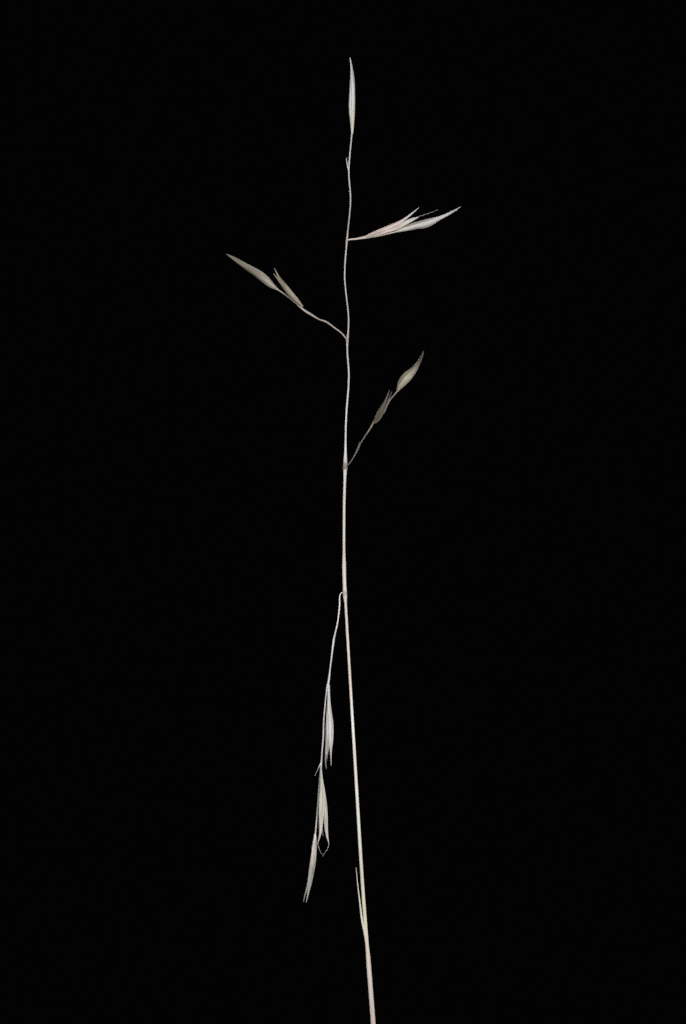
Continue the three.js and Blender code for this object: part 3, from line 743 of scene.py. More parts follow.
def add_scrap(skin, chance, taken, slot):
    """A scrap of fallen blade that lies on the ground, a little bowed."""
    length = chance(4, 10)
    x, y = bare_spot(chance, taken, length * 0.3)
    heading = chance(0, 360)
    ahead = outwards(heading)
    aside = outwards(heading + 90)
    steps = [ahead * length / 2, aside * length * 0.08, ahead * -length / 2]
    line = spline([ground(x + step[0], y + step[1]) + UP * 0.4 for step in steps], 22)
    half = chance(0.4, 0.8) * (1 - 0.85 * np.linspace(-1, 1, 22) ** 4)
    skin.shell(line, aside, rolled(half, np.full(22, chance(0.4, 1.0)), 7, half * 0), 0.1, slot=slot)


def build_bits(scraps_surface):
    skin = Skin()
    chance = seeded(6007)
    taken = []
    for slot, (count, shortest, longest, thick) in enumerate(BITS.values()):
        for _ in range(count):
            add_bit(skin, chance, taken, chance(shortest, longest), thick, slot)
    for _ in range(SCRAPS):
        add_scrap(skin, chance, taken, len(BITS))
    materials = [
        stone_surface("grit", (0.1, 0.085, 0.07), (0.33, 0.29, 0.24)),
        stone_surface("bark", (0.045, 0.026, 0.016), (0.17, 0.1, 0.06)),
        stone_surface("perlite", (0.5, 0.48, 0.44), (0.76, 0.75, 0.72)),
        scraps_surface,
    ]
    add_piece(skin.mesh("soil_bits"), materials, "soil", 40)


# Stem

def culm_point(height):
    return np.array([np.interp(height, CULM_LINE[:, 2], CULM_LINE[:, i]) for i in range(3)])


def culm_half_width(height):
    heights, widths = zip(*CULM_WIDTHS)
    plain = np.interp(height, heights, widths)
    swell = [size * np.exp(-((height - level) / reach) ** 2) for level, size, reach in CULM_JOINTS.values()]
    return plain + np.maximum.reduce(swell)


def add_sheath(skin):
    """The flag leaf's sheath wraps the stem, and its rolled remnant parts from it on the left."""
    sheath = [culm_point(height) for height in np.linspace(SHEATH_FOOT, SHEATH_TOP, 9)]
    remnant = [culm_point(REMNANT_FOOT) + step for step in REMNANT_STEPS]
    path = spline(sheath + remnant, 260)
    height = path[:, 2]
    opening = ease(height, 236.5, 243)
    radius = (0.55 - 0.2 * ease(height, 172, SHEATH_TOP)) * (1 - opening) + 0.16 * opening
    radius *= 1 - 0.8 * np.clip((height - 245) / 9.5, 0, 1)
    roll = SHEATH_ROLL - 0.6 * opening
    sheet = rolled(radius * roll, roll, 25, radius)
    sheet[..., 0] *= 0.85
    thickness = np.minimum(TISSUE_THICKNESS, radius * 0.4)[:, None]
    skin.shell(path, outwards(-90), sheet, thickness, height / TOP_LEVEL, slot=1)


def add_stub(skin):
    """What is left of a lost spikelet's stalk, with a frayed end."""
    fork = culm_point(STUB_FOOT)
    stub = spline([fork, fork + (-0.2, 0, 0.8), fork + (-0.45, 0, 2.2)], 12)
    skin.tube(stub, np.linspace(0.14, 0.09, 12), sides=8, lengths=stub[:, 2] / TOP_LEVEL)
    for k in range(5):
        away = outwards(72 * k) * 0.12
        skin.hair(stub[-1] - UP * 0.1, stub[-1] + away + UP * (0.25 + 0.05 * (k % 3)), 0.03)


def add_collar(skin):
    """A brown collar with teeth below the joint that bears the lower right branch."""
    collar = np.array([culm_point(height) for height in np.linspace(COLLAR_TOP, COLLAR_TOP - 1, 12)])
    skin.tube(collar, np.linspace(0.34, 0.46, 12), flat=0.9, sides=22, slot=2)
    for k in range(COLLAR_TEETH):
        out = outwards(360 / COLLAR_TEETH * k)
        skin.hair(collar[-1] + out * 0.4, collar[-1] + out * (0.5 + 0.05 * (k % 3)) - UP * 0.12, 0.05, slot=2)


def build_culm():
    skin = Skin()
    line = spline(CULM_LINE, 900)
    height = line[:, 2]
    half = culm_half_width(height)
    skin.tube(line, half, flat=0.78, sides=28, lengths=height / TOP_LEVEL, ribs=0.025, rib_count=9)
    add_sheath(skin)
    add_stub(skin)
    add_collar(skin)
    materials = [
        culm_surface("culm_straw", (1, 1, 1)),
        culm_surface("flag_sheath", (0.95, 0.94, 1.06)),
        plant_surface("dark_frill", [(0.0, (0.34, 0.26, 0.21)), (1.0, (0.22, 0.16, 0.12))]),
    ]
    add_piece(skin.mesh("flowering_stem"), materials, "culm", 80)


def culm_surface(name, shade):
    """Bleached straw: v is the height, and the joints are darker. Its tones along the height hold a painted
    highlight around 266 to 282 mm.
    """
    s = Surface(name, specular=0.4, sheen=0.1)
    u, v, own = s.strand()
    offset = s.times(own, 23.0)
    fibres = s.grain(u, v, offset, 14.0, 60.0, 4.0, 0.6)
    broad = s.grain(u, v, offset, 1.6, 45.0, 4.0, 0.6)
    # Tones of the straw along its height: the paler band around 266 to 282 mm is a painted highlight, and the tones
    # darken above 350 mm
    pale = [
        (0.16, (0.42, 0.32, 0.19)), (0.28, (0.5, 0.4, 0.26)), (0.42, (0.55, 0.46, 0.35)),
        (0.58, (0.58, 0.51, 0.42)), (0.61, (0.69, 0.64, 0.5)), (0.63, (0.6, 0.58, 0.47)),
        (0.665, (0.78, 0.76, 0.73)), (0.705, (0.84, 0.79, 0.76)), (0.745, (0.66, 0.59, 0.56)),
        (0.785, (0.64, 0.6, 0.58)), (0.845, (0.67, 0.64, 0.64)), (0.875, (0.41, 0.39, 0.4)),
        (0.91, (0.55, 0.53, 0.54)), (0.923, (0.37, 0.36, 0.36)), (0.95, (0.53, 0.51, 0.51)),
        (0.975, (0.43, 0.42, 0.42)),
    ]
    colour = s.mix(1.0, s.ramp(v, pale), shade, "MULTIPLY")
    colour = s.mix(s.span(broad, 0.5, 0.72, 0.0, 0.45), colour, (0.5, 0.38, 0.27))
    colour = s.mix(s.span(fibres, 0.4, 0.7, 0.0, 0.5), colour, (0.62, 0.55, 0.47), "MULTIPLY")
    for level, _, reach in CULM_JOINTS.values():
        distance = s.math("ABSOLUTE", s.math("SUBTRACT", v, level / TOP_LEVEL))
        colour = s.mix(s.span(distance, 0.0, reach / TOP_LEVEL, 0.55, 0.0), colour, (0.2, 0.13, 0.085))
    height = s.plus(s.math("COSINE", s.times(u, 50.0)), fibres)
    return s.finish(colour, s.span(fibres, 0.3, 0.7, 0.45, 0.65), height, 0.004)


# Leaves

def rolled(half_width, roll, columns, drop):
    """A strip bent about its length, as a shell's sheet. drop is how far its middle lies below the line."""
    across = np.linspace(1, -1, columns)
    roll = np.maximum(np.broadcast_to(roll, len(half_width)), 0.02)[:, None]
    radius = half_width[:, None] / roll
    angle = roll * across
    return np.stack((radius * np.sin(angle), radius * (1 - np.cos(angle)) - drop[:, None]), axis=-1)


def leaf_line(foot, azimuth, length, rise, fall, bend, swing, twist, steps, lowest=0.0):
    """The points and sides along a blade, as in the solids. The last column is the share of its length."""
    point = np.array(foot, float)
    rows = []
    for i in range(steps + 1):
        t = i / steps
        heading = azimuth + swing * t * t
        slope = math.radians(rise + (fall - rise) * t**bend)
        along = outwards(heading) * math.cos(slope) + UP * math.sin(slope)
        level = outwards(heading + 90)
        angle = math.radians(twist * t)
        side = level * math.cos(angle) + np.cross(along, level) * math.sin(angle)
        rows.append((*point, *side, t))
        point = point + along * length / steps
        point[2] = max(point[2], lowest)
    return rows


def add_leaf(skin, stem, blade, azimuth, length, width, radius, chance, stations=72, columns=15):
    """One skin for a leaf: a sheath rolled round the stem, then the blade that opens from it."""
    level = outwards(azimuth + 90)
    collar = np.array(blade[0][:3])
    rows = [(*point, *level, -np.linalg.norm(collar - point) / length) for point in stem]
    line = spline(rows + blade, stations)
    points, sides, t = line[:, :3], line[:, 3:6], line[:, 6]
    open_share = ease(t, -0.01, 0.075)
    shoulder = 0.75 + 0.25 * np.minimum(1, 3 * np.maximum(t, 0))
    ragged = 1 + 0.1 * np.array([noise.noise(Vector((9 * x, chance(0, 0.2), 0.5))) for x in t])
    blade_half = width / 2 * shoulder * (1 - 0.93 * np.clip(t, 0, 1) ** 2.4) * ragged
    blade_roll = 0.55 + chance(0.0, 0.5) * np.clip(t, 0, 1) + chance(0.3, 1.3) * ease(t, 0.6, 1.0)
    blade_roll = blade_roll + 0.25 * np.sin(chance(9, 16) * t + chance(0, 6))
    roll = SHEATH_ROLL + (blade_roll - SHEATH_ROLL) * open_share
    half = SHEATH_ROLL * radius + (blade_half - SHEATH_ROLL * radius) * open_share
    trough = half / roll * (1 - np.cos(roll))
    sheet = rolled(half, roll, columns, radius * (1 - open_share) + np.minimum(trough, half) * open_share)
    across = np.linspace(1, -1, columns)
    ribs = 0.035 * np.cos(across * 2 * math.pi * 3)
    wave = np.sin(chance(20, 32) * t + chance(0, 6))[:, None] * across**2 * np.sign(across) * 0.12
    sheet[..., 1] += (ribs + wave * blade_half[:, None]) * open_share[:, None] * ease(1 - t, 0, 0.1)[:, None]
    edge = LEAF_THICKNESS * (1 - 0.7 * np.abs(across) ** 3)
    rib = 0.28 * np.exp(-((across / 0.14) ** 2))
    thickness = (edge + rib * open_share[:, None]) * (0.35 + 0.65 * ease(1 - t, 0, 0.25))[:, None]
    skin.shell(points, sides, sheet, thickness, np.clip((t + 0.3) / 1.3, 0, 1))


def add_shreds(skin, centre, azimuth, radius, chance, count, slot=0):
    """Dry shreds of old sheaths that stand off a shoot's foot."""
    for _ in range(count):
        around = azimuth + chance(-180, 180)
        root = centre + outwards(around) * radius * 0.9 + UP * chance(-1.5, 2.5)
        lean = chance(40, 86)
        length = chance(5, 13)
        blade = leaf_line(root, around + chance(-40, 40), length, lean, lean - chance(20, 90), 1.3, chance(-30, 30),
                          chance(-90, 90), 6)
        line = spline(blade, 16)
        t = line[:, 6]
        half = np.maximum(chance(0.25, 0.6) * (1 - t**2), 0.03)
        sheet = rolled(half, np.full(16, chance(0.6, 1.6)), 7, np.zeros(16))
        skin.shell(line[:, :3], line[:, 3:6], sheet, TISSUE_THICKNESS, 0.1 + 0.5 * t, slot)


def fresh_surface():
    stops = [
        (0.0, (0.5, 0.38, 0.22)), (0.25, (0.56, 0.46, 0.28)), (0.55, (0.52, 0.4, 0.23)), (0.85, (0.6, 0.5, 0.34)),
        (1.0, (0.68, 0.6, 0.46)),
    ]
    return plant_surface("dry_blade", stops, blotch=(0.26, 0.15, 0.075), blotches=0.55, tone=0.5, subsurface=0.2)


def faded_surface():
    stops = [(0.0, (0.3, 0.22, 0.14)), (0.4, (0.36, 0.29, 0.2)), (1.0, (0.5, 0.44, 0.35))]
    return plant_surface("withered_blade", stops, blotch=(0.12, 0.085, 0.055), blotches=0.6, tone=0.6,
                         subsurface=0.1)


def build_tiller(k, materials):
    chance = seeded(101 + 17 * k)
    azimuth = 360 / TILLERS * (k + 0.5)
    foot = outwards(azimuth) * TILLER_RING + UP * FOOT_LEVEL
    neck = foot * (1, 1, 0) + UP * (SOIL_LEVEL + 5)
    top = (neck + outwards(azimuth) * 2) * (1, 1, 0) + UP * (SOIL_LEVEL + chance(18, 27))
    own = seeded(5501 + 13 * k)
    skin = Skin(40 * k)
    core = spline([foot, neck, top, top + (top - neck) * 0.12], 40)
    radius = 0.62 * (1 - 0.8 * ease(np.linspace(0, 1, 40), 0.75, 1.0))
    skin.tube(core, radius, sides=12, lengths=np.linspace(0, 0.3, 40))
    for j in range(BLADES_PER_TILLER):
        share = j / (BLADES_PER_TILLER - 1)
        rank = 1 if j % 2 else -1
        start = neck + (top - neck) * (0.35 + 0.6 * share)
        heading = azimuth + rank * (14 - 10 * share) + chance(-2, 2)
        length = chance(70, 112) * (0.8 + 0.35 * share)
        rise = 58 + 24 * share + chance(-5, 4)
        fall = chance(-72, -26) + 34 * share
        bend = chance(1.2, 1.7)
        swing = chance(-5, 5)
        twist = chance(-50, 50)
        width = chance(1.9, 2.5)
        blade = leaf_line(start, heading, length, rise, fall, bend, swing, twist, 10)
        low = foot + UP * (3 + 2 * share)
        stem = [low, (low + neck) / 2, neck, (neck + start) / 2]
        add_leaf(skin, stem, blade, heading, length, width, 1.14 - 0.13 * j, own)
    add_shreds(skin, neck - UP * 4, azimuth, 1.2, own, 9, slot=1)
    add_piece(skin.mesh(f"shoot_{k + 1}"), materials, f"tiller_{k + 1}", 75)


def build_old_tuft(k, materials):
    chance = seeded(907 + 29 * k)
    azimuth = 360 / OLD_TUFTS * k
    foot = outwards(azimuth) * OLD_RING + UP * FOOT_LEVEL
    neck = foot * (1, 1, 0) + UP * (SOIL_LEVEL + 4.5)
    own = seeded(7703 + 31 * k)
    skin = Skin(500 + 40 * k)
    core = spline([foot, foot + (neck - foot) * 0.6, neck + UP * 0.8], 24)
    radius = 0.45 * (1 - 0.7 * ease(np.linspace(0, 1, 24), 0.7, 1.0))
    skin.tube(core, radius, sides=10, lengths=np.linspace(0, 0.3, 24))
    for rank in (-1, 1):
        start = neck - UP * 1.2
        heading = azimuth + rank * 9
        length = chance(32, 58)
        rise = chance(35, 70)
        fall = chance(-310, -170)
        bend = chance(1.3, 2)
        swing = rank * chance(4, 30)
        twist = rank * chance(10, 50)
        width = chance(1.6, 2)
        blade = leaf_line(start, heading, length, rise, fall, bend, swing, twist, 14, SOIL_LEVEL + 3.2)
        low = foot + UP * 4
        stem = [low, (low + start) / 2]
        add_leaf(skin, stem, blade, heading, length, width, 0.72 - 0.08 * rank, own, stations=84)
    add_shreds(skin, neck - UP * 4, azimuth, 0.8, own, 7)
    add_piece(skin.mesh(f"withered_tuft_{k + 1}"), materials, f"old_tuft_{k + 1}", 75)


def build_culm_leaf(materials):
    foot = culm_point(159) + (1.5, 0, 0)
    blade = leaf_line(foot, -25, 78, 76, -64, 1.4, -14, 35, 14)
    stem = [culm_point(height) for height in np.linspace(112.5, 156, 7)]
    skin = Skin(900)
    add_leaf(skin, stem, blade, -25, 78, 2.2, 0.6, seeded(3301), stations=130, columns=19)
    add_piece(skin.mesh("stem_leaf"), materials, "culm_leaf", 75)


# Panicle. Its steps in millimetres go from a joint of the culm, or for the top spikelet from the culm's end.

# Each branch has its steps to the right, back and up, with the radius there, and its colours from the joint
# to the end. A bract stands where it forks, and has a foot, a tip and a thickness.
BRANCHES = {
    "branch_upper_right": {
        "joint": "upper_right",
        "steps": [
            (0.5, -0.03, 0.07, 0.13), (1.6, -0.1, 0.17, 0.16), (2.7, -0.2, 0.36, 0.21), (3.3, -0.25, 0.45, 0.25),
            (4.1, -0.35, 0.5, 0.18), (5.6, -0.6, 0.68, 0.13), (7.2, -0.9, 1.02, 0.11), (8.8, -1.2, 1.4, 0.12),
            (9.6, -1.2, 1.62, 0.13),
        ],
        "bracts": [((3.2, -0.3, 0.55), (4.0, -0.45, 0.95), 0.08)],
        "colours": [(0.62, 0.55, 0.48), (0.66, 0.6, 0.54)],
    },
    "branch_left": {
        "joint": "left",
        "steps": [
            (-1.1, 0.12, 1.2, 0.12), (-2.35, 0.3, 2.15, 0.12), (-3.85, 0.6, 3.25, 0.15), (-5.2, 1, 3.75, 0.13),
            (-6.4, 1.4, 4.5, 0.19), (-7.7, 1.8, 5.3, 0.19), (-9.5, 2.25, 6.85, 0.14), (-11.3, 2.75, 8.3, 0.14),
            (-12.9, 3.2, 9.4, 0.12),
        ],
        "bracts": [],
        # painted shade: colours darker than the other branches' stand in for the shade this branch lies in
        "colours": [(0.45, 0.39, 0.36), (0.42, 0.36, 0.32), (0.6, 0.52, 0.46)],
    },
    "branch_lower_right": {
        "joint": "lower_right",
        "steps": [
            (0.5, 0.03, 0.1, 0.11), (1.05, 0.1, 0.76, 0.1), (1.77, 0.35, 1.93, 0.11), (2.31, 0.6, 3.05, 0.18),
            (2.67, 0.8, 3.82, 0.11), (3.57, 1.15, 5.26, 0.1), (4.47, 1.5, 6.61, 0.15), (5.2, 1.8, 7.87, 0.18),
            (6.1, 2.15, 8.8, 0.11), (6.95, 2.5, 9.5, 0.13), (7.4, 2.75, 10.5, 0.13), (7.78, 2.95, 11.45, 0.21),
            (8.2, 3.15, 12, 0.11), (9.15, 3.6, 13.1, 0.13), (9.7, 3.8, 13.9, 0.12),
        ],
        "bracts": [((2.25, 0.55, 2.9), (2.6, 0.65, 4.3), 0.11), ((7.7, 2.9, 11.2), (8.05, 3.0, 12.0), 0.1)],
        # painted shade: colours darker than the other branches' stand in for the shade this branch lies in
        "colours": [(0.1, 0.09, 0.078), (0.27, 0.22, 0.19)],
    },
    "branch_drooping": {
        "joint": "drooping",
        "steps": [
            (-0.6, -0.03, 0.2, 0.07), (-0.95, -0.06, -0.35, 0.1), (-1, -0.2, -2.1, 0.13), (-1.35, -0.5, -5.1, 0.13),
            (-1.93, -0.8, -7.7, 0.14), (-2.05, -0.85, -8.3, 0.19), (-2.3, -1.05, -10.2, 0.16),
            (-2.7, -1.35, -13.5, 0.13), (-2.95, -1.55, -15.6, 0.19), (-3.15, -1.6, -16.6, 0.22),
            (-3.35, -1.65, -17.6, 0.12), (-3.62, -1.7, -20.1, 0.12), (-3.86, -1.8, -23.1, 0.13),
            (-3.92, -1.83, -25.4, 0.15), (-4.13, -1.85, -28.2, 0.13), (-4.38, -1.85, -31.7, 0.17),
            (-4.65, -1.75, -34.7, 0.14), (-4.85, -1.65, -37.2, 0.13), (-5.06, -1.55, -39.9, 0.13),
            (-5.24, -1.45, -42, 0.14), (-5.42, -1.4, -44, 0.13),
        ],
        "bracts": [
            ((-1.93, -0.85, -7.6), (-2.25, -0.95, -8.9), 0.12), ((-4.35, -2.0, -30.3), (-5.45, -2.1, -32.7), 0.09),
        ],
        "colours": [(0.83, 0.81, 0.82), (0.49, 0.48, 0.48), (0.55, 0.53, 0.52)],
    },
}

# Each spikelet has its depths at its foot, at a quarter of its length and at its tip. A scale has the side of
# its ridge, how far it bows back, and its steps to the right and up, with the half-width seen from the front.
# An awn has steps alone. Colours run from foot to tip, and stops say where they lie.
SPIKELETS = {
    "spikelet_top": {
        "depths": (0, 0.1, 0.2),
        "scales": [
            (-1, -0.1, [(0.04, -0.25, 0.16), (0.16, 1.9, 0.26), (0.22, 5, 0.33), (0.2, 8, 0.33), (0.13, 9.9, 0.3),
                        (-0.05, 11.6, 0.19), (-0.32, 13.5, 0.06)]),
            (1, 0.12, [(0, 0, 0.14), (-0.11, 2.1, 0.2), (-0.18, 3.8, 0.33), (-0.2, 5.7, 0.33), (-0.18, 8, 0.24),
                       (-0.18, 10.2, 0.12), (-0.2, 12, 0.05)]),
        ],
        "colours": [(0.75, 0.67, 0.61), (0.64, 0.64, 0.63), (0.75, 0.77, 0.9)],
    },
    "spikelet_upper_right_side": {
        "joint": "upper_right",
        "depths": (-0.3, -1.5, -2.4),
        "scales": [
            (1, -0.1, [(3.1, 0.45, 0.14), (4.15, 0.84, 0.28), (5.6, 1.38, 0.36), (7.4, 2.1, 0.37), (9, 2.82, 0.29),
                       (10.3, 3.6, 0.2), (11.5, 4.48, 0.15), (12.95, 5.7, 0.04)]),
            (-1, 0.15, [(3.45, 0.44, 0.13), (5.6, 1, 0.28), (7.4, 1.6, 0.39), (9, 2.17, 0.42), (10.45, 2.9, 0.39),
                        (11.7, 3.5, 0.29), (12.8, 3.95, 0.08)]),
        ],
        "awns": [[(12, 3.65), (13.15, 4.12), (14, 4.4), (15.1, 4.8), (16.4, 5.3)]],
        "colours": [(0.78, 0.68, 0.64), (0.81, 0.68, 0.67), (0.6, 0.62, 0.6)],
    },
    "spikelet_upper_right_end": {
        "joint": "upper_right",
        "depths": (-1.2, -0.95, -0.05),
        "scales": [
            (1, -0.1, [(8.8, 1.4, 0.13), (10.3, 1.92, 0.38), (12.2, 2.55, 0.53), (13.9, 2.95, 0.63),
                       (15.3, 3.38, 0.53), (16.9, 4, 0.32), (18.7, 4.9, 0.21), (20.45, 5.95, 0.05)]),
            (-1, 0.2, [(8.8, 1.38, 0.13), (10.6, 1.78, 0.24), (12.4, 2.23, 0.32), (14, 2.5, 0.38), (15.3, 3, 0.34),
                       (16.4, 3.56, 0.21), (17.3, 4, 0.07)]),
        ],
        "awns": [[(19.2, 5.15), (19.9, 5.35)]],
        "colours": [(0.6, 0.59, 0.52), (0.56, 0.55, 0.55), (0.6, 0.6, 0.6)],
    },
    "spikelet_left_side": {
        "joint": "left",
        "depths": (1.75, 0.95, 0.15),
        "scales": [
            (-1, -0.1, [(-8.1, 6.05, 0.12), (-8.8, 6.85, 0.28), (-9.8, 7.95, 0.36), (-10.85, 9.2, 0.4),
                        (-11.7, 10.3, 0.31), (-12.4, 11.35, 0.2), (-13.15, 12.85, 0.05)]),
            (1, 0.15, [(-8.8, 6.6, 0.13), (-10.2, 7.9, 0.23), (-11.35, 9.3, 0.21), (-12.35, 10.65, 0.14),
                       (-13.3, 11.9, 0.05)]),
        ],
        # painted shade: colours darker than the other spikelets' stand in for the shade this one lies in
        "colours": [(0.5, 0.43, 0.38), (0.39, 0.35, 0.28), (0.31, 0.31, 0.24)],
    },
    "spikelet_left_end": {
        "joint": "left",
        "depths": (3.2, 3.4, 3.85),
        "scales": [
            (-1, -0.1, [(-12.5, 9.1, 0.14), (-13.5, 9.95, 0.36), (-14.6, 10.95, 0.56), (-15.75, 11.9, 0.62),
                        (-17.2, 12.85, 0.5), (-18.8, 13.75, 0.43), (-20.4, 14.75, 0.31), (-21.85, 15.65, 0.06)]),
            (1, 0.15, [(-12.6, 9.15, 0.14), (-14, 9.95, 0.32), (-15.4, 11.05, 0.38), (-16.8, 12.15, 0.37),
                       (-18.45, 13.15, 0.25), (-20.3, 14.35, 0.06)]),
        ],
        # painted shade: colours darker than the other spikelets' stand in for the shade this one lies in
        "colours": [(0.38, 0.34, 0.27), (0.32, 0.29, 0.26), (0.26, 0.26, 0.19)],
    },
    "spikelet_lower_right_side": {
        "joint": "lower_right",
        "depths": (1.7, 0.95, 0.65),
        "scales": [
            (1, -0.1, [(5.25, 7.7, 0.17), (5.76, 8.77, 0.35), (6.27, 9.76, 0.37), (6.77, 10.66, 0.29),
                       (7.35, 11.9, 0.17), (8, 13.55, 0.06)]),
            (-1, 0.15, [(5.45, 7.7, 0.17), (6.27, 8.7, 0.29), (6.8, 9.7, 0.24), (7.35, 10.85, 0.15),
                        (8, 12.3, 0.09), (8.43, 13.3, 0.05)]),
        ],
        # painted shade: colours darker than the other spikelets' stand in for the shade this one lies in
        "colours": [(0.17, 0.15, 0.1), (0.11, 0.1, 0.07), (0.13, 0.12, 0.1)],
    },
    "spikelet_lower_right_end": {
        "joint": "lower_right",
        "depths": (3.7, 3.9, 4.3),
        "scales": [
            (1, -0.1, [(9.45, 13.4, 0.15), (9.92, 14.45, 0.51), (10.62, 15.5, 0.78), (11.5, 16.45, 0.78),
                       (12.45, 17.35, 0.57), (13.2, 18.5, 0.36), (13.75, 19.6, 0.25), (14.2, 20.8, 0.09)]),
            (-1, 0.2, [(9.5, 13.5, 0.13), (10.3, 14.6, 0.44), (11.2, 15.6, 0.54), (12.1, 16.55, 0.44),
                       (12.85, 17.7, 0.28), (13.65, 19.65, 0.06)]),
        ],
        # painted shade: colours darker than the other spikelets' stand in for the shade this one lies in
        "colours": [(0.3, 0.27, 0.21), (0.43, 0.4, 0.31), (0.06, 0.05, 0.04)],
        "stops": (0.0, 0.38, 0.78),
    },
    "spikelet_drooping_first": {
        "joint": "drooping",
        "depths": (-1.6, -2.3, -2.7),
        "scales": [
            (1, -0.1, [(-2.95, -16.3, 0.19), (-2.87, -18.8, 0.21), (-2.76, -21, 0.33), (-2.6, -22.8, 0.43),
                       (-2.54, -24.8, 0.47), (-2.54, -26.6, 0.36), (-2.56, -28, 0.19), (-2.52, -30.8, 0.05)]),
            (-1, 0.12, [(-3, -16.9, 0.16), (-3.05, -19.9, 0.2), (-3.1, -22, 0.28), (-3.12, -24.2, 0.37),
                        (-3.15, -26.4, 0.38), (-3.26, -27.8, 0.33), (-3.35, -28.7, 0.25)]),
            (-1, 0.3, [(-3, -21.3, 0.15), (-3.08, -25.4, 0.26), (-3.41, -28.5, 0.19), (-3.51, -30, 0.11),
                       (-3.39, -31.4, 0.05)]),
        ],
        "colours": [(0.7, 0.7, 0.7), (0.74, 0.74, 0.74), (0.5, 0.49, 0.48)],
    },
    "spikelet_drooping_second": {
        "joint": "drooping",
        "depths": (-1.9, -2.8, -3.2),
        "scales": [
            (-1, -0.15, [(-4.35, -31.6, 0.2), (-4.23, -34.3, 0.32), (-4.22, -36.4, 0.45), (-4.27, -39, 0.49),
                         (-4.34, -41.1, 0.37), (-4.5, -43.1, 0.2), (-4.88, -44.6, 0.06)]),
            (1, 0.12, [(-4.2, -33, 0.17), (-3.82, -35.4, 0.23), (-3.59, -37.5, 0.3), (-3.48, -39.9, 0.35),
                       (-3.37, -42.2, 0.28), (-3.17, -43.6, 0.17), (-2.96, -44.5, 0.06)]),
        ],
        "awns": [
            [(-4.83, -44.2), (-4.88, -44.8), (-4.74, -45.5), (-4.38, -46.25), (-4.05, -46.9)],
            [(-3, -44.2), (-2.94, -44.8), (-3.08, -45.5), (-3.48, -46.2), (-4.02, -47)],
            [(-4.18, -41.1), (-4.09, -42.2), (-3.91, -43.4)],
        ],
        "colours": [(0.58, 0.58, 0.57), (0.7, 0.69, 0.61), (0.69, 0.62, 0.65)],
    },
    "spikelet_drooping_end": {
        "joint": "drooping",
        "depths": (-1.4, -1.3, -1),
        "scales": [
            (-1, -0.1, [(-5.38, -43.1, 0.18), (-5.64, -45.4, 0.31), (-5.89, -47.4, 0.31), (-6.18, -49.4, 0.32),
                        (-6.43, -51.2, 0.28), (-6.86, -53, 0.18), (-7.26, -54.3, 0.11), (-7.5, -55.4, 0.06)]),
            (1, 0.12, [(-5.26, -43.5, 0.14), (-5.37, -45.8, 0.25), (-5.55, -47.8, 0.32), (-5.84, -49.6, 0.35),
                       (-6.16, -51.4, 0.31), (-6.52, -53.2, 0.21), (-7, -55.5, 0.06)]),
        ],
        "colours": [(0.9, 0.87, 0.87), (0.4, 0.4, 0.38), (0.37, 0.37, 0.36)],
        "stops": (0.27, 0.5, 0.95),
        "streaks": 1.0,
    },
}


def joint_point(name):
    return culm_point(CULM_JOINTS[name][0])


def build_branch(name, branch):
    joint = joint_point(branch["joint"])
    steps = branch["steps"]
    inside = math.copysign(culm_half_width(joint[2]) * 0.4, steps[0][0])
    line = spline([(inside, 0, 0, steps[0][3]), *steps], 180)
    points = joint + line[:, :3]
    radius = line[:, 3]
    chance = seeded(1201 + len(name))
    skin = Skin(1000 + len(name))
    skin.tube(points, radius, sides=14, ribs=0.04, rib_count=5)
    for _ in range(BRANCH_HAIRS):
        i = int(chance(6, 170))
        ahead = unit(points[i + 3] - points[i])
        out = square_to(any_way(chance), ahead)
        skin.hair(points[i] + out * radius[i] * 0.8, points[i] + out * (radius[i] + 0.07) + ahead * 0.15, 0.02)
    for foot, tip, size in branch["bracts"]:
        skin.hair(joint + foot, joint + tip, size)
    surface = branch_surface(name + "_straw", branch["colours"])
    add_piece(skin.mesh(name + "_stalk"), [surface], name, 80)


def branch_surface(name, colours):
    stops = list(zip(np.linspace(0, 1, len(colours)), colours))
    return plant_surface(name, stops, streaks=0.3, blotch=tuple(0.55 * c for c in colours[0]), veins=4, along=12.0,
                         margin_tint_and_shade=0.0, tone=0.0, rough=0.5)


def laid_out(spikelet, steps, bow, count):
    """Turns flat steps into points at the depths of their spikelet, and carries their half-widths along."""
    flat = np.array(steps)
    whole = np.array(spikelet["scales"][0][2])[:, :2]
    share = np.linalg.norm(flat[:, :2] - whole[0], axis=1) / np.linalg.norm(whole[-1] - whole[0])
    depth = np.interp(share, (0, 0.25, 1), spikelet["depths"]) + bow * np.sin(np.linspace(0, math.pi, len(flat)))
    base = joint_point(spikelet["joint"]) if "joint" in spikelet else CULM_LINE[-1]
    line = spline(np.column_stack((flat[:, 0], depth, flat[:, 1], flat[:, 2:])), count)
    return base + line[:, :3], line[:, 3:].ravel()


def add_husk(skin, line, half, keel, slot):
    """A boat-shaped scale with raised nerves, whose thin margins part on the side away from its ridge."""
    angle = np.linspace(HUSK_WRAP, -HUSK_WRAP, 33)
    relief = 1 + sum(0.022 * np.exp(-(((np.abs(angle) - nerve) / 0.1) ** 2)) for nerve in HUSK_NERVES)
    middle = (1 + math.cos(HUSK_WRAP)) / 2
    up = (np.cos(angle) * relief - middle) / (1 - middle) + 0.02 * np.exp(-((angle / 0.15) ** 2))
    up = up / up.max()
    side = 0.9 * np.sin(angle) * relief
    sheet = keel * half[:, None, None] * np.stack((side, up), axis=-1)
    thickness = TISSUE_THICKNESS * (1 - 0.75 * np.abs(angle / HUSK_WRAP) ** 2)
    skin.shell(line, BACK, sheet, np.minimum(thickness, half[:, None] * 0.4), slot=slot)


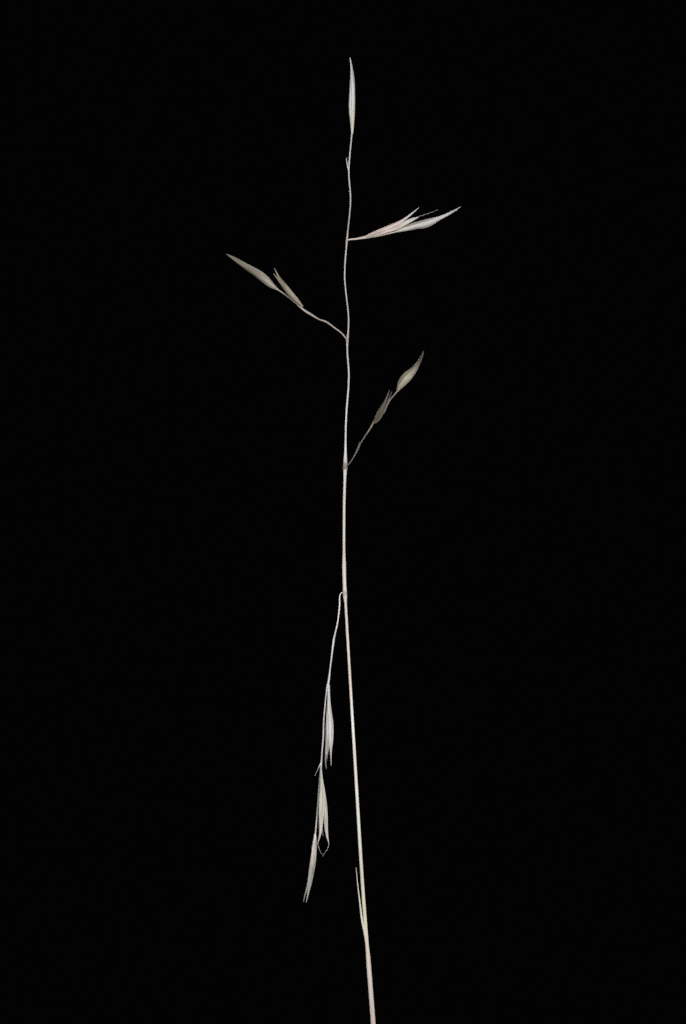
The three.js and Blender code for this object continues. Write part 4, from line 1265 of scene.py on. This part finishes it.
def add_torn_end(skin, end, half, chance):
    """Shreds of dark tissue that hang from the wide end of a torn scale."""
    for _ in range(TORN_SHREDS):
        root = end + (chance(-0.8, 0.8) * half, chance(-0.2, 0.2), 0)
        skin.hair(root + UP * 0.3, root + (chance(-0.1, 0.1), 0, -chance(0.3, 1.3)), 0.022, slot=1)


def add_awn(skin, line, chance):
    """A rough bristle, a little kinked, with tiny barbs."""
    t = np.linspace(0, 1, len(line))
    kink = np.stack((np.sin(41 * t), np.cos(37 * t), np.sin(29 * t + 1)), axis=1) * 0.04
    line = line + kink * ease(t, 0, 0.2)[:, None]
    radius = (0.047 - 0.022 * t) * (1 + 0.3 * np.sin(53 * t) * np.sin(19 * t))
    skin.tube(line, radius, sides=8, slot=1)
    for i in range(3, len(line) - 4, 2):
        out = any_way(chance)
        ahead = unit(line[i + 3] - line[i])
        skin.hair(line[i], line[i] + out * 0.09 + ahead * 0.16, 0.016, slot=1)


def add_beard(skin, foot, ahead, chance):
    """A few hairs round the foot of a spikelet."""
    for _ in range(BEARD_HAIRS):
        out = square_to(outwards(chance(0, 360)), ahead)
        root = foot + out * 0.1 + ahead * chance(0, 0.8)
        skin.hair(root, root + out * chance(0.08, 0.2) + ahead * chance(0.6, 1.1), 0.014, slot=1)


def husk_surfaces(name, spikelet):
    """The papery scales, and the dimmer florets inside them."""
    foot, belly, tip = spikelet["colours"]
    blotch_and_margin_shade = tuple(0.5 * c for c in belly)
    stops = list(zip(spikelet.get("stops", (0.0, 0.42, 0.95)), spikelet["colours"]))
    dim_stops = [(0.0, foot), (0.5, tuple(0.7 * c for c in belly)), (0.95, tuple(0.5 * c for c in tip))]
    # The scales' darker margins are painted shade, where the glumes overlap
    return [
        plant_surface(f"{name}_husk", stops, streaks=spikelet.get("streaks", 0.8), blotch=blotch_and_margin_shade, blotches=0.3,
                      veins=7, along=2.0, edge=blotch_and_margin_shade, margin_tint_and_shade=0.7, tone=0.1, strands=4.5),
        plant_surface(f"{name}_floret", dim_stops, streaks=0.5, blotches=0.3, veins=5, along=3.0, tone=0.1),
    ]


def build_spikelet(name, spikelet):
    chance = seeded(2203 + 7 * len(name))
    skin = Skin(1200 + 40 * len(name))
    for number, (keel, bow, steps) in enumerate(spikelet["scales"]):
        line, half = laid_out(spikelet, steps, bow, 60)
        add_husk(skin, line, half, keel, 0 if number < 2 else 1)
        if half[-1] > 0.15:
            add_torn_end(skin, line[-1], half[-1], chance)
    line, half = laid_out(spikelet, spikelet["scales"][0][2], 0.0, 48)
    skin.tube(line, half * 0.6, flat=0.8, sides=20, ribs=0.05, rib_count=5, slot=1)
    for steps in spikelet.get("awns", []):
        add_awn(skin, laid_out(spikelet, steps, 0.0, 60)[0], chance)
    add_beard(skin, line[0], unit(line[3] - line[0]), chance)
    add_piece(skin.mesh(name + "_scales"), husk_surfaces(name, spikelet), name, 70)


# Everything

add_camera()
add_stage()
build_pot()
build_soil()
build_culm()
fresh = fresh_surface()
faded = faded_surface()
build_bits(faded)
build_culm_leaf([fresh])
for k in range(TILLERS):
    build_tiller(k, [fresh, faded])
for k in range(OLD_TUFTS):
    build_old_tuft(k, [faded])
for name, branch in BRANCHES.items():
    build_branch(name, branch)
for name, spikelet in SPIKELETS.items():
    build_spikelet(name, spikelet)
